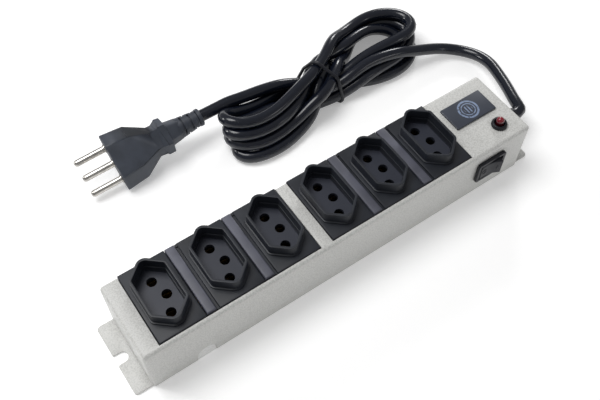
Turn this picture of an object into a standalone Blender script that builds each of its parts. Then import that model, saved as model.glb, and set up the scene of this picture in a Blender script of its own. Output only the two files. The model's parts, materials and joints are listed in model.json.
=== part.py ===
"""Six-way rack power strip: a folded steel channel that holds six three-pin sockets.

Frame: origin at the centre of the underside, +X along the strip towards the switch and
the cord, +Y across it towards the rear wall, +Z up out of the socket face.
Lengths are in millimetres and become metres once, where a mesh is stored.
"""

import math

import bmesh
import bpy
from mathutils import Matrix, Vector

MM = 0.001
GAP = 0.3  # clearance kept between neighbouring solids

# ---- driving dimensions -------------------------------------------------------------
LENGTH = 238.0  # housing, outside its end walls
WIDTH = 44.4  # one rack unit
HEIGHT = 35.4  # underside to the painted top
SHEET = 1.2  # folded steel
TOP_BEND = 1.9  # outer radius of the folds along the top
UPRIGHT_CORNER = 1.4  # outer radius where two walls meet

EAR_REACH = 9.4  # each mounting ear beyond its end wall
EAR_INSET = 1.0  # ear edge in from the side wall
EAR_CORNER = 2.0
SLOT_WIDTH = 5.8
SLOT_DEPTH = 6.8
SLOT_LEAD = 0.9  # radius at the slot's mouth

SOCKET_PITCH = 32.4
PLATE_WIDTH = 25.4  # face plate, along the strip
SOCKETS_PER_WINDOW = 3
LEFT_MARGIN = 9.6  # painted top, left of the first window
WINDOW_BAR = 6.8  # painted bar between the two windows
FRONT_LIP = 2.2  # painted lip in front of the windows
REAR_STEP = 5.0  # how far a window cuts down into the rear wall

PIN_PITCH = 19.0  # live to neutral
EARTH_OFFSET = 3.0  # earth pin off the line of the other two
PIN_RADIUS = 2.0
PIN_REACH = 19.0
SOCKET_Y = 2.2  # middle of each socket across the strip
COLLAR_HALF_WIDTH = 10.2
COLLAR_HALF_LENGTH = 20.6  # to the sharp point, before rounding
COLLAR_SHOULDER = 11.0
COLLAR_WALL = 1.3
COLLAR_RADIUS = 3.0
COLLAR_RISE = 7.2  # rim above the painted top
PLATE_PROUD = 0.5
PLATE_THICK = 2.3
FLOOR_DROP = 2.6  # recess floor below the painted top
FLOOR_THICK = 2.0
PIN_HOLE_RADIUS = 2.6

STRIP_WIDTH = 5.2  # filler strip beside a socket
STRIP_PROUD = 1.1

SWITCH_X = 92.4
SWITCH_Z = 20.2
SWITCH_BEZEL = (19.2, 15.2)
SWITCH_BODY = (16.8, 13.0)
SWITCH_DEPTH = 14.0
TERMINAL_OFFSET = 4.2
ROCKER_HALF_LENGTH = 6.6
ROCKER_HALF_WIDTH = 5.3
ROCKER_SLOPE = math.radians(13.0)
ROCKER_TILT = math.radians(12.0)

LAMP_X, LAMP_Y = 105.3, -11.6
LAMP_RADIUS = 4.4

BADGE_X = (84.0, 111.4)
BADGE_Y = (-2.2, 13.1)

CORD_RADIUS = 3.5
CORD_EXIT_Y = -2.2
CORD_EXIT_Z = 17.0
GLAND_REACH = 14.0

# ---- worked out from them -----------------------------------------------------------
END = LENGTH / 2
SIDE = WIDTH / 2
PLATE_TOP = HEIGHT + PLATE_PROUD
PLATE_BOTTOM = PLATE_TOP - PLATE_THICK
FLOOR_TOP = HEIGHT - FLOOR_DROP
FLOOR_BOTTOM = FLOOR_TOP - FLOOR_THICK
RIM = HEIGHT + COLLAR_RISE
PLATE_FRONT = -SIDE + FRONT_LIP + GAP
WINDOW_LENGTH = (SOCKETS_PER_WINDOW - 1) * SOCKET_PITCH + PLATE_WIDTH + 2 * GAP
WINDOW_STARTS = (-END + LEFT_MARGIN, -END + LEFT_MARGIN + WINDOW_LENGTH + WINDOW_BAR)
SOCKET_XS = [
    start + GAP + PLATE_WIDTH / 2 + index * SOCKET_PITCH
    for start in WINDOW_STARTS
    for index in range(SOCKETS_PER_WINDOW)
]
ROCKER_PIVOT_Y = -SIDE + 1.0
CARRIER_TOP = FLOOR_BOTTOM - 0.4
CARRIER_BOTTOM = 13.5
BAR_BOTTOM = 11.0

# Route of the free cord outside the housing: its centre line, from the gland to the hank
# and from the hank to the plug.
LEAD_ROUTE = [
    (133.5, -2.2, 17.0), (135.8, -2.2, 16.9), (138.9, 1.8, 16.0), (141.8, 8.9, 14.5), (145.6, 15.9, 13.0),
    (148.3, 23.0, 12.0), (150.7, 31.4, 10.5), (151.6, 39.3, 9.0), (151.3, 47.7, 7.0), (149.5, 54.7, 5.6),
    (146.6, 60.9, 4.6), (141.6, 65.4, 5.2), (133.4, 68.8, 7.5),
]
PLUG_ROUTE = [(38.8, 92.1, 17.5), (15.0, 94.0, 17.9), (0.0, 95.6, 17.7), (-18.2, 97.7, 17.2)]

# The tied hank, seen from above: its waist, and the outer edge of each lobe.
WAIST = (54.6, 83.8)
WAIST_ANGLE = math.radians(31.5)
WAIST_HALF = 12.4  # half the bundle's width under the tie
WAIST_FLAT = 2.4  # half the length of straight bundle under the tie
LEFT_LOBE = [(38.0, 87.6), (14.0, 88.4), (-6.0, 88.6), (-15.6, 79.6), (-8.0, 66.4), (14.0, 60.2), (38.0, 65.8)]
RIGHT_LOBE = [(90.0, 68.6), (112.0, 71.2), (126.0, 82.0), (126.0, 98.0), (111.0, 107.6), (88.0, 105.0), (70.0, 100.0)]
HANK_BOTTOM, HANK_TOP = 0.0, 24.8
TIE_WIDTH, TIE_THICK = 2.4, 1.2
PLUG_FACE = (-75.7, 99.4, 12.6)
PLUG_YAW, PLUG_PITCH, PLUG_ROLL = math.radians(-1.6), math.radians(4.4), math.radians(-35.0)


# ---- materials ----------------------------------------------------------------------
def finish(name, colour, roughness, metallic=0.0):
    """A Principled material of one colour."""
    material = bpy.data.materials.new(name)
    material.use_nodes = True
    shader = material.node_tree.nodes["Principled BSDF"]
    shader.inputs["Base Color"].default_value = (*colour, 1.0)
    shader.inputs["Roughness"].default_value = roughness
    shader.inputs["Metallic"].default_value = metallic
    return material


def make_finishes():
    """Every finish on the strip, by name."""
    return {
        "paint": finish("textured_paint", (0.66, 0.66, 0.64), 0.55),
        "inner_paint": finish("cover_paint", (0.50, 0.50, 0.49), 0.5),
        "black": finish("socket_plastic", (0.035, 0.037, 0.045), 0.45),
        "carrier": finish("carrier_plastic", (0.08, 0.08, 0.08), 0.6),
        "filler": finish("filler_plastic", (0.13, 0.13, 0.16), 0.4),
        "brass": finish("brass", (0.65, 0.47, 0.18), 0.35, 1.0),
        "zinc": finish("zinc_plate", (0.60, 0.60, 0.58), 0.35, 1.0),
        "nickel": finish("nickel_plate", (0.72, 0.70, 0.66), 0.22, 1.0),
        "badge": finish("badge_plastic", (0.04, 0.042, 0.055), 0.4),
        "lens": finish("red_lens", (0.45, 0.02, 0.03), 0.15),
        "switch": finish("switch_plastic", (0.02, 0.02, 0.022), 0.35),
        "cord": finish("cord_sheath", (0.015, 0.016, 0.018), 0.35),
        "plug": finish("plug_rubber", (0.05, 0.055, 0.06), 0.6),
        "brown": finish("live_sheath", (0.16, 0.06, 0.02), 0.45),
        "blue": finish("neutral_sheath", (0.03, 0.10, 0.42), 0.45),
        "green": finish("earth_sheath", (0.08, 0.30, 0.06), 0.45),
    }


# ---- modelling helpers --------------------------------------------------------------
def store(name, bm, material=None):
    """Turns a bmesh in millimetres into an object in metres."""
    bmesh.ops.scale(bm, vec=(MM, MM, MM), verts=bm.verts)
    bmesh.ops.recalc_face_normals(bm, faces=bm.faces)
    mesh = bpy.data.meshes.new(name)
    bm.to_mesh(mesh)
    bm.free()
    mesh.shade_smooth()
    mesh.set_sharp_from_angle(angle=math.radians(35))
    item = bpy.data.objects.new(name, mesh)
    bpy.context.scene.collection.objects.link(item)
    if material:
        item.data.materials.append(material)
    return item


def block_mesh(low, high):
    """A bmesh box between two corners."""
    bm = bmesh.new()
    bmesh.ops.create_cube(bm, size=1.0)
    low, high = Vector(low), Vector(high)
    bmesh.ops.scale(bm, vec=high - low, verts=bm.verts)
    bmesh.ops.translate(bm, vec=(low + high) / 2, verts=bm.verts)
    return bm


def soften(bm, edges, radius, segments=2):
    """Rounds the given edges."""
    bmesh.ops.bevel(
        bm, geom=edges, offset=radius, offset_type="OFFSET", segments=segments, profile=0.5, affect="EDGES",
        clamp_overlap=True, material=-1,
    )


def upper_edges(bm, top):
    """Edges that lie in the plane z = top."""
    return [edge for edge in bm.edges if all(abs(vert.co.z - top) < 1e-4 for vert in edge.verts)]


def block(name, low, high, material=None, top_radius=0.0):
    """A box, with its top edges rounded if a radius is given."""
    bm = block_mesh(low, high)
    if top_radius:
        soften(bm, upper_edges(bm, high[2]), top_radius)
    return store(name, bm, material)


def prism_mesh(outline, bottom, top):
    """A bmesh prism over an outline."""
    bm = bmesh.new()
    face = bm.faces.new([bm.verts.new((x, y, bottom)) for x, y in outline])
    grown = bmesh.ops.extrude_face_region(bm, geom=[face])
    raised = [item for item in grown["geom"] if isinstance(item, bmesh.types.BMVert)]
    bmesh.ops.translate(bm, vec=(0, 0, top - bottom), verts=raised)
    return bm


def prism(name, outline, bottom, top, material=None):
    """An extruded outline."""
    return store(name, prism_mesh(outline, bottom, top), material)


def turned(name, profile, material=None, sides=16, place=None, hollow=False):
    """A profile of (radius, height) points spun round Z, then placed by a matrix."""
    bm = bmesh.new()
    verts = [bm.verts.new((radius, 0.0, height)) for radius, height in profile]
    edges = [bm.edges.new(pair) for pair in zip(verts, verts[1:])]
    if hollow:
        edges.append(bm.edges.new((verts[-1], verts[0])))
    bmesh.ops.spin(
        bm, geom=verts + edges, cent=(0, 0, 0), axis=(0, 0, 1), angle=math.tau, steps=sides, use_merge=True
    )
    bmesh.ops.remove_doubles(bm, verts=bm.verts, dist=1e-4)
    if place:
        bmesh.ops.transform(bm, matrix=place, verts=bm.verts)
    return store(name, bm, material)


def rod(name, radius, bottom, top, material=None, sides=12, place=None):
    """A plain round bar along Z, then placed by a matrix."""
    return turned(name, [(0, bottom), (radius, bottom), (radius, top), (0, top)], material, sides, place)


def boolean(target, tool, operation):
    """Cuts or joins target with tool, and hides the tool."""
    modifier = target.modifiers.new(f"{operation.lower()}_{tool.name}"[:60], "BOOLEAN")
    modifier.operation = operation
    modifier.solver = "EXACT"
    modifier.object = tool
    tool.hide_render = True
    tool.display_type = "WIRE"


def cut(target, *tools):
    """Takes tools out of target."""
    for tool in tools:
        boolean(target, tool, "DIFFERENCE")


def join(target, *tools):
    """Adds tools to target."""
    for tool in tools:
        boolean(target, tool, "UNION")


def rounded(points, radius, steps=3):
    """An outline with each corner rounded to a radius."""
    outline = []
    count = len(points)
    for index in range(count):
        corner = Vector(points[index])
        before = (Vector(points[index - 1]) - corner).normalized()
        after = (Vector(points[(index + 1) % count]) - corner).normalized()
        half = before.angle(after) / 2
        reach = radius / math.tan(half)
        centre = corner + (before + after).normalized() * radius / math.sin(half)
        first = corner + before * reach - centre
        last = corner + after * reach - centre
        sweep = first.angle_signed(last)
        for step in range(steps + 1):
            turn = -sweep * step / steps
            outline.append(tuple(centre + Matrix.Rotation(turn, 2) @ first))
    return outline


def smooth_route(points, spacing, closed=False):
    """Points about one spacing apart on a smooth curve through the given points."""
    points = [Vector(point) for point in points]
    count = len(points)
    spans = count if closed else count - 1
    result = []
    for index in range(spans):
        near, far = points[index], points[(index + 1) % count]
        before = points[index - 1] if closed or index else near * 2 - far
        after = points[(index + 2) % count] if closed or index + 2 < count else far * 2 - near
        steps = max(1, round((far - near).length / spacing))
        for step in range(steps):
            t = step / steps
            result.append(
                0.5 * (2 * near + (far - before) * t + (2 * before - 5 * near + 4 * far - after) * t * t
                       + (3 * near - before - 3 * far + after) * t ** 3)
            )
    if not closed:
        result.append(points[-1])
    return result


def tube(name, route, radius, material, resolution=3, spacing=16.0):
    """A round lead along a route."""
    curve = bpy.data.curves.new(name, "CURVE")
    curve.dimensions = "3D"
    curve.bevel_depth = radius * MM
    curve.bevel_resolution = resolution
    curve.use_fill_caps = True
    points = smooth_route(route, spacing)
    spline = curve.splines.new("POLY")
    spline.points.add(len(points) - 1)
    for knot, point in zip(spline.points, points):
        knot.co = (*(point * MM), 1.0)
    curve.materials.append(material)
    item = bpy.data.objects.new(name, curve)
    bpy.context.scene.collection.objects.link(item)
    return item


# ---- housing and cover --------------------------------------------------------------
def ear_outline(side):
    """One mounting ear with an open-ended slot, side -1 for the left end and 1 for the right."""
    inner = END - SHEET
    outer = END + EAR_REACH
    half = SIDE - EAR_INSET
    slot = SLOT_WIDTH / 2
    root = END + EAR_REACH - SLOT_DEPTH + slot
    steps = 6

    def arc(cx, cy, radius, start, stop, count=3):
        angles = [math.radians(start + (stop - start) * step / count) for step in range(count + 1)]
        return [(cx + radius * math.cos(angle), cy + radius * math.sin(angle)) for angle in angles]

    outline = [(inner, -half)]
    outline += arc(outer - EAR_CORNER, -half + EAR_CORNER, EAR_CORNER, -90, 0)
    outline += arc(outer - SLOT_LEAD, -slot - SLOT_LEAD, SLOT_LEAD, 0, 90)
    outline += arc(root, 0, slot, 270, 90, steps)
    outline += arc(outer - SLOT_LEAD, slot + SLOT_LEAD, SLOT_LEAD, -90, 0)
    outline += arc(outer - EAR_CORNER, half - EAR_CORNER, EAR_CORNER, 0, 90)
    outline.append((inner, half))
    return [(side * x, side * y) for x, y in outline]


def shell_mesh(inset):
    """The channel's outer or inner form: a box with rounded top bends and upright corners."""
    bend, corner = TOP_BEND - inset, UPRIGHT_CORNER - inset
    turns = [math.radians(step * 30) for step in range(4)]
    levels = [(inset, -1.0 if inset else 0.0)]
    for turn in turns:
        levels.append((inset + bend * (1 - math.cos(turn)), HEIGHT - inset - bend * (1 - math.sin(turn))))
    bm = bmesh.new()
    rings = []
    for level_inset, z in levels:
        reach_x, reach_y = END - level_inset, SIDE - level_inset
        radius = max(corner - level_inset + inset, 0.0)
        ring = []
        for quarter, (sx, sy) in enumerate(((1, 1), (-1, 1), (-1, -1), (1, -1))):
            for turn in turns:
                angle = turn + quarter * math.pi / 2
                x = sx * (reach_x - radius) + radius * math.cos(angle)
                y = sy * (reach_y - radius) + radius * math.sin(angle)
                ring.append(bm.verts.new((x, y, z)))
        rings.append(ring)
    for near, far in zip(rings, rings[1:]):
        for index in range(len(near)):
            following = (index + 1) % len(near)
            bm.faces.new((near[index], near[following], far[following], far[index]))
    bm.faces.new(rings[0][::-1])
    bm.faces.new(rings[-1])
    bmesh.ops.remove_doubles(bm, verts=bm.verts, dist=1e-3)
    return bm


def make_housing(finishes):
    """Folded steel housing: top, four walls, two mounting ears and every opening."""
    housing = store("housing", shell_mesh(0.0), finishes["paint"])
    cut(housing, store("housing_inside", shell_mesh(SHEET)))
    for side, word in ((-1, "left"), (1, "right")):
        join(housing, prism(f"ear_{word}", ear_outline(side), 0.0, SHEET))
    for start, word in zip(WINDOW_STARTS, ("left", "right")):
        low = (start, -SIDE + FRONT_LIP, HEIGHT - REAR_STEP)
        cut(housing, block(f"window_{word}", low, (start + WINDOW_LENGTH, SIDE + 5, HEIGHT + 5)))
    half_x, half_z = SWITCH_BODY[0] / 2 + GAP, SWITCH_BODY[1] / 2 + GAP
    cut(
        housing,
        block(
            "switch_cutout",
            (SWITCH_X - half_x, -SIDE - 3, SWITCH_Z - half_z),
            (SWITCH_X + half_x, -SIDE + 3, SWITCH_Z + half_z),
        ),
        rod("lamp_hole", 3.9, HEIGHT - 4, HEIGHT + 4, place=Matrix.Translation((LAMP_X, LAMP_Y, 0))),
        rod(
            "cord_hole", 5.1, -4, 4,
            place=Matrix.Translation((END, CORD_EXIT_Y, CORD_EXIT_Z)) @ Matrix.Rotation(math.pi / 2, 4, "Y"),
        ),
        prism_notch(),
    )
    return housing


def prism_notch():
    """Round-topped notch in the front wall's lower edge, a knock-out for a second cable."""
    half, centre, rise, x = 5.3, 3.0, 6.2, -88.6
    arc = [math.radians(step * 30) for step in range(7)]
    outline = [(half, -2.0)] + [(half * math.cos(a), centre + rise * math.sin(a)) for a in arc] + [(-half, -2.0)]
    bm = prism_mesh(outline, -3.0, 3.0)
    place = Matrix.Translation((x, -SIDE, 0)) @ Matrix.Rotation(math.pi / 2, 4, "X")
    bmesh.ops.transform(bm, matrix=place, verts=bm.verts)
    return store("knockout_notch", bm)


SCREW_PLACES = [(side * 111.5, y) for side in (-1, 1) for y in (-8.0, 8.0)]


def make_cover(finishes):
    """Base cover with two upturned flanges, its two brackets and its four screws."""
    reach_x, reach_y, flange = END - SHEET - GAP, SIDE - SHEET - GAP, 13.0
    corners = [(-reach_x, -reach_y), (reach_x, -reach_y), (reach_x, reach_y), (-reach_x, reach_y)]
    cover = prism("base_cover", rounded(corners, 1.0, 2), 0.0, SHEET, finishes["inner_paint"])
    for side, word in ((-1, "front"), (1, "rear")):
        near, far = sorted((side * reach_y, side * (reach_y - 1.0)))
        join(cover, block(f"flange_{word}", (-108, near, 0.4), (108, far, flange)))
    for index, (x, y) in enumerate(SCREW_PLACES):
        sink = [(0, -0.5), (3.8, -0.5), (3.3, 0.0), (2.1, 1.2), (2.1, 2.0), (0, 2.0)]
        cut(cover, turned(f"screw_seat_{index + 1}", sink, place=Matrix.Translation((x, y, 0))))
        head = [(0, 0.1), (2.7, 0.1), (1.45, 1.35), (1.45, 8.0), (0, 8.6)]
        turned(f"cover_screw_{index + 1}", head, finishes["zinc"], 12, Matrix.Translation((x, y, 0)))
    for side, word in ((-1, "left"), (1, "right")):
        wall = side * (END - SHEET - GAP)
        near, far = sorted((wall, wall - side * 10.5))
        bracket = block(f"cover_bracket_{word}", (near, -12, 1.5), (far, 12, 3.0), finishes["zinc"])
        near, far = sorted((wall, wall - side * 1.5))
        join(bracket, block(f"bracket_leg_{word}", (near, -12, 2.0), (far, 12, 9.6)))
        for x, y in SCREW_PLACES:
            if x * side > 0:
                hole = rod(f"bracket_hole_{word}_{'rear' if y > 0 else 'front'}", 1.8, 0, 5)
                hole.location = (x * MM, y * MM, 0)
                cut(bracket, hole)


# ---- sockets ------------------------------------------------------------------------
def hexagon(grow):
    """The socket's long six-sided outline, grown or shrunk by a wall."""
    width = COLLAR_HALF_WIDTH + grow
    length = COLLAR_HALF_LENGTH + min(grow, 0.0) * 1.35
    shoulder = COLLAR_SHOULDER + grow * 0.3
    corners = [(width, -shoulder), (width, shoulder), (0, length), (-width, shoulder), (-width, -shoulder), (0, -length)]
    return rounded(corners, COLLAR_RADIUS + grow, 2)


def pin_places():
    """The three contacts of one socket, from its middle: live, earth, neutral."""
    return [(0.0, -PIN_PITCH / 2), (EARTH_OFFSET, 0.0), (0.0, PIN_PITCH / 2)]


def make_socket(number, x, finishes):
    """A face plate with its collar and recess, and the contact carrier behind it."""
    half = PLATE_WIDTH / 2
    plate = block(
        f"socket_face_{number}", (x - half, PLATE_FRONT, PLATE_BOTTOM), (x + half, SIDE, PLATE_TOP),
        finishes["black"], 0.7,
    )
    place = Vector((x * MM, SOCKET_Y * MM, 0))
    collar = prism(f"collar_{number}", hexagon(0.0), FLOOR_BOTTOM, RIM)
    plinth = prism(f"plinth_{number}", hexagon(0.8), PLATE_BOTTOM + 0.5, PLATE_TOP + 0.8)
    recess = prism(f"recess_{number}", hexagon(-COLLAR_WALL), FLOOR_TOP, RIM + 5)
    for tool in (collar, plinth, recess):
        tool.location = place
    apron = block(f"apron_{number}", (x - half, SIDE - 2.0, FLOOR_BOTTOM), (x + half, SIDE, PLATE_BOTTOM + 0.6))
    join(plate, apron, plinth, collar)
    cut(plate, recess)
    for index, (dx, dy) in enumerate(pin_places()):
        hole = rod(f"pin_hole_{number}_{index}", PIN_HOLE_RADIUS, FLOOR_BOTTOM - 3, FLOOR_TOP + 3, sides=12)
        hole.location = place + Vector((dx, dy, 0)) * MM
        cut(plate, hole)

    carrier = block(
        f"contact_carrier_{number}", (x - 11.6, SOCKET_Y - 16.8, CARRIER_BOTTOM), (x + 11.6, SOCKET_Y + 16.8, CARRIER_TOP),
        finishes["carrier"],
    )
    for index, (dx, dy) in enumerate(pin_places()):
        low = (x + dx - 3.6, SOCKET_Y + dy - 3.4, CARRIER_BOTTOM - 2)
        high = (x + dx + 3.6, SOCKET_Y + dy + 3.4, CARRIER_TOP + 2)
        cut(carrier, block(f"contact_well_{number}_{index}", low, high))


def make_filler(number, x, finishes):
    """A filler strip that covers the space between two face plates."""
    half = STRIP_WIDTH / 2
    strip = block(
        f"filler_strip_{number}", (x - half, PLATE_FRONT + 0.5, PLATE_BOTTOM + 0.6), (x + half, SIDE - 0.3, HEIGHT + STRIP_PROUD),
        finishes["filler"], 0.6,
    )
    join(
        strip,
        block(f"filler_web_{number}", (x - 0.9, PLATE_FRONT + 1.5, 26.0), (x + 0.9, 19.0, PLATE_BOTTOM + 1.2)),
        block(f"filler_apron_{number}", (x - half, SIDE - 2.0, FLOOR_BOTTOM), (x + half, SIDE - 0.3, PLATE_BOTTOM + 1.2)),
    )


def make_bus_bar(name, y, offset, finishes):
    """A brass bar with a pair of upright contact leaves at each socket."""
    leaf_half, inner, outer, thick, height = 3.0, 2.3, 3.0, 0.8, 16.0
    leaves = [(x + offset - leaf_half, x + offset + leaf_half) for x in SOCKET_XS]
    cuts_x = sorted([SOCKET_XS[0] - 6.0, SOCKET_XS[-1] + 10.0] + [end for leaf in leaves for end in leaf])
    cuts_y = [y - outer, y - inner, y + inner, y + outer]
    bm = bmesh.new()
    grid = [[bm.verts.new((x, cy, BAR_BOTTOM)) for cy in cuts_y] for x in cuts_x]
    for i in range(len(cuts_x) - 1):
        for j in range(len(cuts_y) - 1):
            bm.faces.new((grid[i][j], grid[i + 1][j], grid[i + 1][j + 1], grid[i][j + 1]))
    grown = bmesh.ops.extrude_face_region(bm, geom=bm.faces[:])
    bmesh.ops.translate(bm, vec=(0, 0, thick), verts=[v for v in grown["geom"] if isinstance(v, bmesh.types.BMVert)])
    roots = []
    for face in bm.faces:
        middle = face.calc_center_median()
        on_top = abs(middle.z - BAR_BOTTOM - thick) < 1e-4 and abs(face.normal.z) > 0.5
        in_leaf = any(start < middle.x < stop for start, stop in leaves) and abs(middle.y - y) > inner
        if on_top and in_leaf:
            roots.append(face)
    raised = bmesh.ops.extrude_discrete_faces(bm, faces=roots)
    for face in raised["faces"]:
        bmesh.ops.translate(bm, vec=(0, 0, height), verts=face.verts)
    return store(name, bm, finishes["brass"])


# ---- end compartment ----------------------------------------------------------------
def make_badge(finishes):
    """Plain badge plate on the painted top."""
    block(
        "badge_plate", (BADGE_X[0], BADGE_Y[0], HEIGHT + GAP), (BADGE_X[1], BADGE_Y[1], HEIGHT + GAP + 1.0),
        finishes["badge"], 0.3,
    )


def make_lamp(finishes):
    """Round lamp holder with a red domed lens standing out of it."""
    place = Matrix.Translation((LAMP_X, LAMP_Y, 0))
    base, top = HEIGHT + GAP, HEIGHT + 2.2
    holder = [
        (2.65, top - 1.0), (3.2, top), (3.8, top), (LAMP_RADIUS, base + 0.9), (LAMP_RADIUS, base), (3.6, base),
        (3.6, 28.6), (1.6, 28.6), (1.6, 30.0), (2.65, 30.0),
    ]
    turned("lamp_holder", holder, finishes["switch"], 20, place, hollow=True)
    radius, centre = 2.3, HEIGHT + 3.6
    angles = [math.radians(step * 30) for step in range(3)]
    dome = [(radius * math.cos(angle), centre + radius * math.sin(angle)) for angle in angles]
    lens = [(0, 30.4), (radius, 30.4)] + dome + [(0, centre + radius)]
    turned("lamp_lens", lens, finishes["lens"], 14, place)


def make_switch(finishes):
    """Rocker switch: frame with a bezel, the rocker that tilts in it and two terminals."""
    front = -SIDE - GAP
    half_x, half_z = SWITCH_BODY[0] / 2, SWITCH_BODY[1] / 2
    bezel_x, bezel_z = SWITCH_BEZEL[0] / 2, SWITCH_BEZEL[1] / 2
    bm = block_mesh((SWITCH_X - bezel_x, front - 1.8, SWITCH_Z - bezel_z), (SWITCH_X + bezel_x, front, SWITCH_Z + bezel_z))
    corners = [edge for edge in bm.edges if (edge.verts[0].co - edge.verts[1].co).xz.length < 1e-4]
    soften(bm, corners, 1.5)
    rim = [edge for edge in bm.edges if all(abs(vert.co.y - front + 1.8) < 1e-4 for vert in edge.verts)]
    soften(bm, rim, 0.6)
    frame = store("switch_frame", bm, finishes["switch"])
    join(
        frame,
        block(
            "switch_body", (SWITCH_X - half_x, front - 1.0, SWITCH_Z - half_z),
            (SWITCH_X + half_x, -SIDE + SWITCH_DEPTH, SWITCH_Z + half_z),
        ),
    )
    cut(
        frame,
        block(
            "switch_well", (SWITCH_X - half_x + 0.55, front - 5, SWITCH_Z - half_z + 0.8),
            (SWITCH_X + half_x - 0.55, -SIDE + SWITCH_DEPTH - 2.0, SWITCH_Z + half_z - 0.8),
        ),
        rod("pivot_hole", 1.45, -half_z - 2, half_z + 2, place=Matrix.Translation((SWITCH_X, ROCKER_PIVOT_Y, SWITCH_Z))),
    )
    crest, length = 3.2, ROCKER_HALF_LENGTH
    tip = crest + length * math.tan(ROCKER_SLOPE)
    outline = [(0, -crest), (length, -tip), (length - 0.4, 0.5), (3.9, 3.4), (-3.9, 3.4), (0.4 - length, 0.5), (-length, -tip)]
    rocker = prism("switch_rocker", outline, -ROCKER_HALF_WIDTH, ROCKER_HALF_WIDTH, finishes["switch"])
    rocker.location = Vector((SWITCH_X, ROCKER_PIVOT_Y, SWITCH_Z)) * MM
    rocker.rotation_euler = (0, 0, -ROCKER_TILT)
    pivot = rod("rocker_pivot", 1.1, -half_z + 0.25, half_z - 0.25, sides=12)
    pivot.location = rocker.location
    join(rocker, pivot)
    for index, dx in enumerate((-TERMINAL_OFFSET, TERMINAL_OFFSET)):
        x = SWITCH_X + dx
        back = -SIDE + SWITCH_DEPTH + GAP
        block(f"switch_terminal_{index + 1}", (x - 2.4, back, SWITCH_Z - 0.4), (x + 2.4, back + 7.5, SWITCH_Z + 0.4), finishes["brass"])


def make_gland(finishes):
    """Tapered strain relief through the right end wall."""
    wall = END
    profile = [
        (0, wall - 6.0), (4.6, wall - 6.0), (6.4, wall - SHEET - GAP - 1.8), (6.4, wall - SHEET - GAP), (4.7, wall - SHEET - GAP),
        (4.7, wall + GAP), (6.2, wall + GAP), (6.0, wall + 2.2), (5.0, wall + 3.6), (3.95, wall + GLAND_REACH), (0, wall + GLAND_REACH),
    ]
    place = Matrix.Translation((0, CORD_EXIT_Y, CORD_EXIT_Z)) @ Matrix.Rotation(math.pi / 2, 4, "Y")
    turned("cord_gland", profile, finishes["switch"], 16, place)


def make_earth_stud(finishes):
    """Earthing stud on the base cover with its nut."""
    place = Matrix.Translation((94.0, 13.5, 0))
    rod("earth_stud", 1.9, SHEET + GAP, 9.5, finishes["zinc"], 12, place)
    profile = [(2.2, 3.4), (3.9, 3.4), (3.9, 6.2), (2.2, 6.2)]
    turned("earth_nut", profile, finishes["zinc"], 6, place, hollow=True)


def make_inner_leads(finishes):
    """The four leads between the cord, the switch, the bars and the earth stud."""
    gland = END - 6.0 - 4 * GAP
    bar_end = SOCKET_XS[-1] + 10.0 + GAP
    z = BAR_BOTTOM + 0.4
    left, right = SWITCH_X - TERMINAL_OFFSET, SWITCH_X + TERMINAL_OFFSET
    back = -SIDE + SWITCH_DEPTH + 7.8 + 2 * GAP
    y, up = CORD_EXIT_Y, CORD_EXIT_Z
    radius = 1.15
    live_in = [(gland, y - 2.4, up + 2.6), (108.0, y - 1.0, up + 4.4), (102.0, y + 2.6, up + 4.0), (right, back + 2.0, SWITCH_Z), (right, back, SWITCH_Z)]
    tube("lead_live_in", live_in, radius, finishes["brown"], 2, 5.0)
    live_out = [(left, back, SWITCH_Z), (left - 0.2, back + 1.8, SWITCH_Z - 0.5), (84.6, -1.4, SWITCH_Z - 3.0), (80.6, -5.0, z + 1.4), (bar_end + 1.6, -7.3, z), (bar_end, -7.3, z)]
    tube("lead_live_out", live_out, radius, finishes["brown"], 2, 5.0)
    neutral = [(gland, y + 2.4, up + 1.6), (107.0, y + 6.2, up), (98.0, y + 9.6, 14.6), (87.0, y + 12.6, 12.4), (bar_end + 1.6, 11.7, z), (bar_end, 11.7, z)]
    tube("lead_neutral", neutral, radius, finishes["blue"], 2, 5.0)
    earth = [(gland, y, up - 3.0), (107.0, y + 0.6, 11.2), (96.0, y + 1.6, 8.6), (85.0, 1.2, 9.2), (bar_end + 1.6, 2.2, z - 0.4), (bar_end, 2.2, z)]
    tube("lead_earth", earth, radius, finishes["green"], 2, 5.0)


# ---- cord and plug ------------------------------------------------------------------
def waist_points(side):
    """The two points of the hank's edge beside the tie, on the near side (-1) or the far side (1)."""
    turn = Matrix.Rotation(WAIST_ANGLE, 2)
    spots = [Vector((along, side * (WAIST_HALF - 0.2))) for along in (-WAIST_FLAT, WAIST_FLAT)]
    return [tuple(turn @ spot + Vector(WAIST)) for spot in spots]


def make_cord(finishes):
    """The free cord: a stretch from the gland, the tied hank and a stretch to the plug."""
    tube("cord_to_housing", LEAD_ROUTE, CORD_RADIUS, finishes["cord"])
    tube("cord_to_plug", PLUG_ROUTE, CORD_RADIUS, finishes["cord"])
    near, far = waist_points(-1), waist_points(1)
    edge = smooth_route(LEFT_LOBE + near + RIGHT_LOBE + far[::-1], 7.0, closed=True)
    bm = prism_mesh([tuple(point) for point in edge], HANK_BOTTOM, HANK_TOP)
    soften(bm, upper_edges(bm, HANK_TOP) + upper_edges(bm, HANK_BOTTOM), 2.0, 2)
    hank = store("cord_hank", bm, finishes["cord"])
    half, thick, reach = TIE_WIDTH / 2, TIE_THICK, WAIST_HALF + GAP
    floor = HANK_BOTTOM + thick + GAP
    groove = block("tie_groove", (-half - GAP, -reach - 5, -2), (half + GAP, reach + 5, floor + GAP))
    outer = block("cord_tie", (-half, -reach - thick, GAP), (half, reach + thick, HANK_TOP + GAP + thick), finishes["switch"])
    inner = block("tie_opening", (-half - 2, -reach, floor), (half + 2, reach, HANK_TOP + GAP))
    for item in (groove, outer, inner):
        item.location = (WAIST[0] * MM, WAIST[1] * MM, 0)
        item.rotation_euler = (0, 0, WAIST_ANGLE)
    cut(hank, groove)
    cut(outer, inner)


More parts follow.
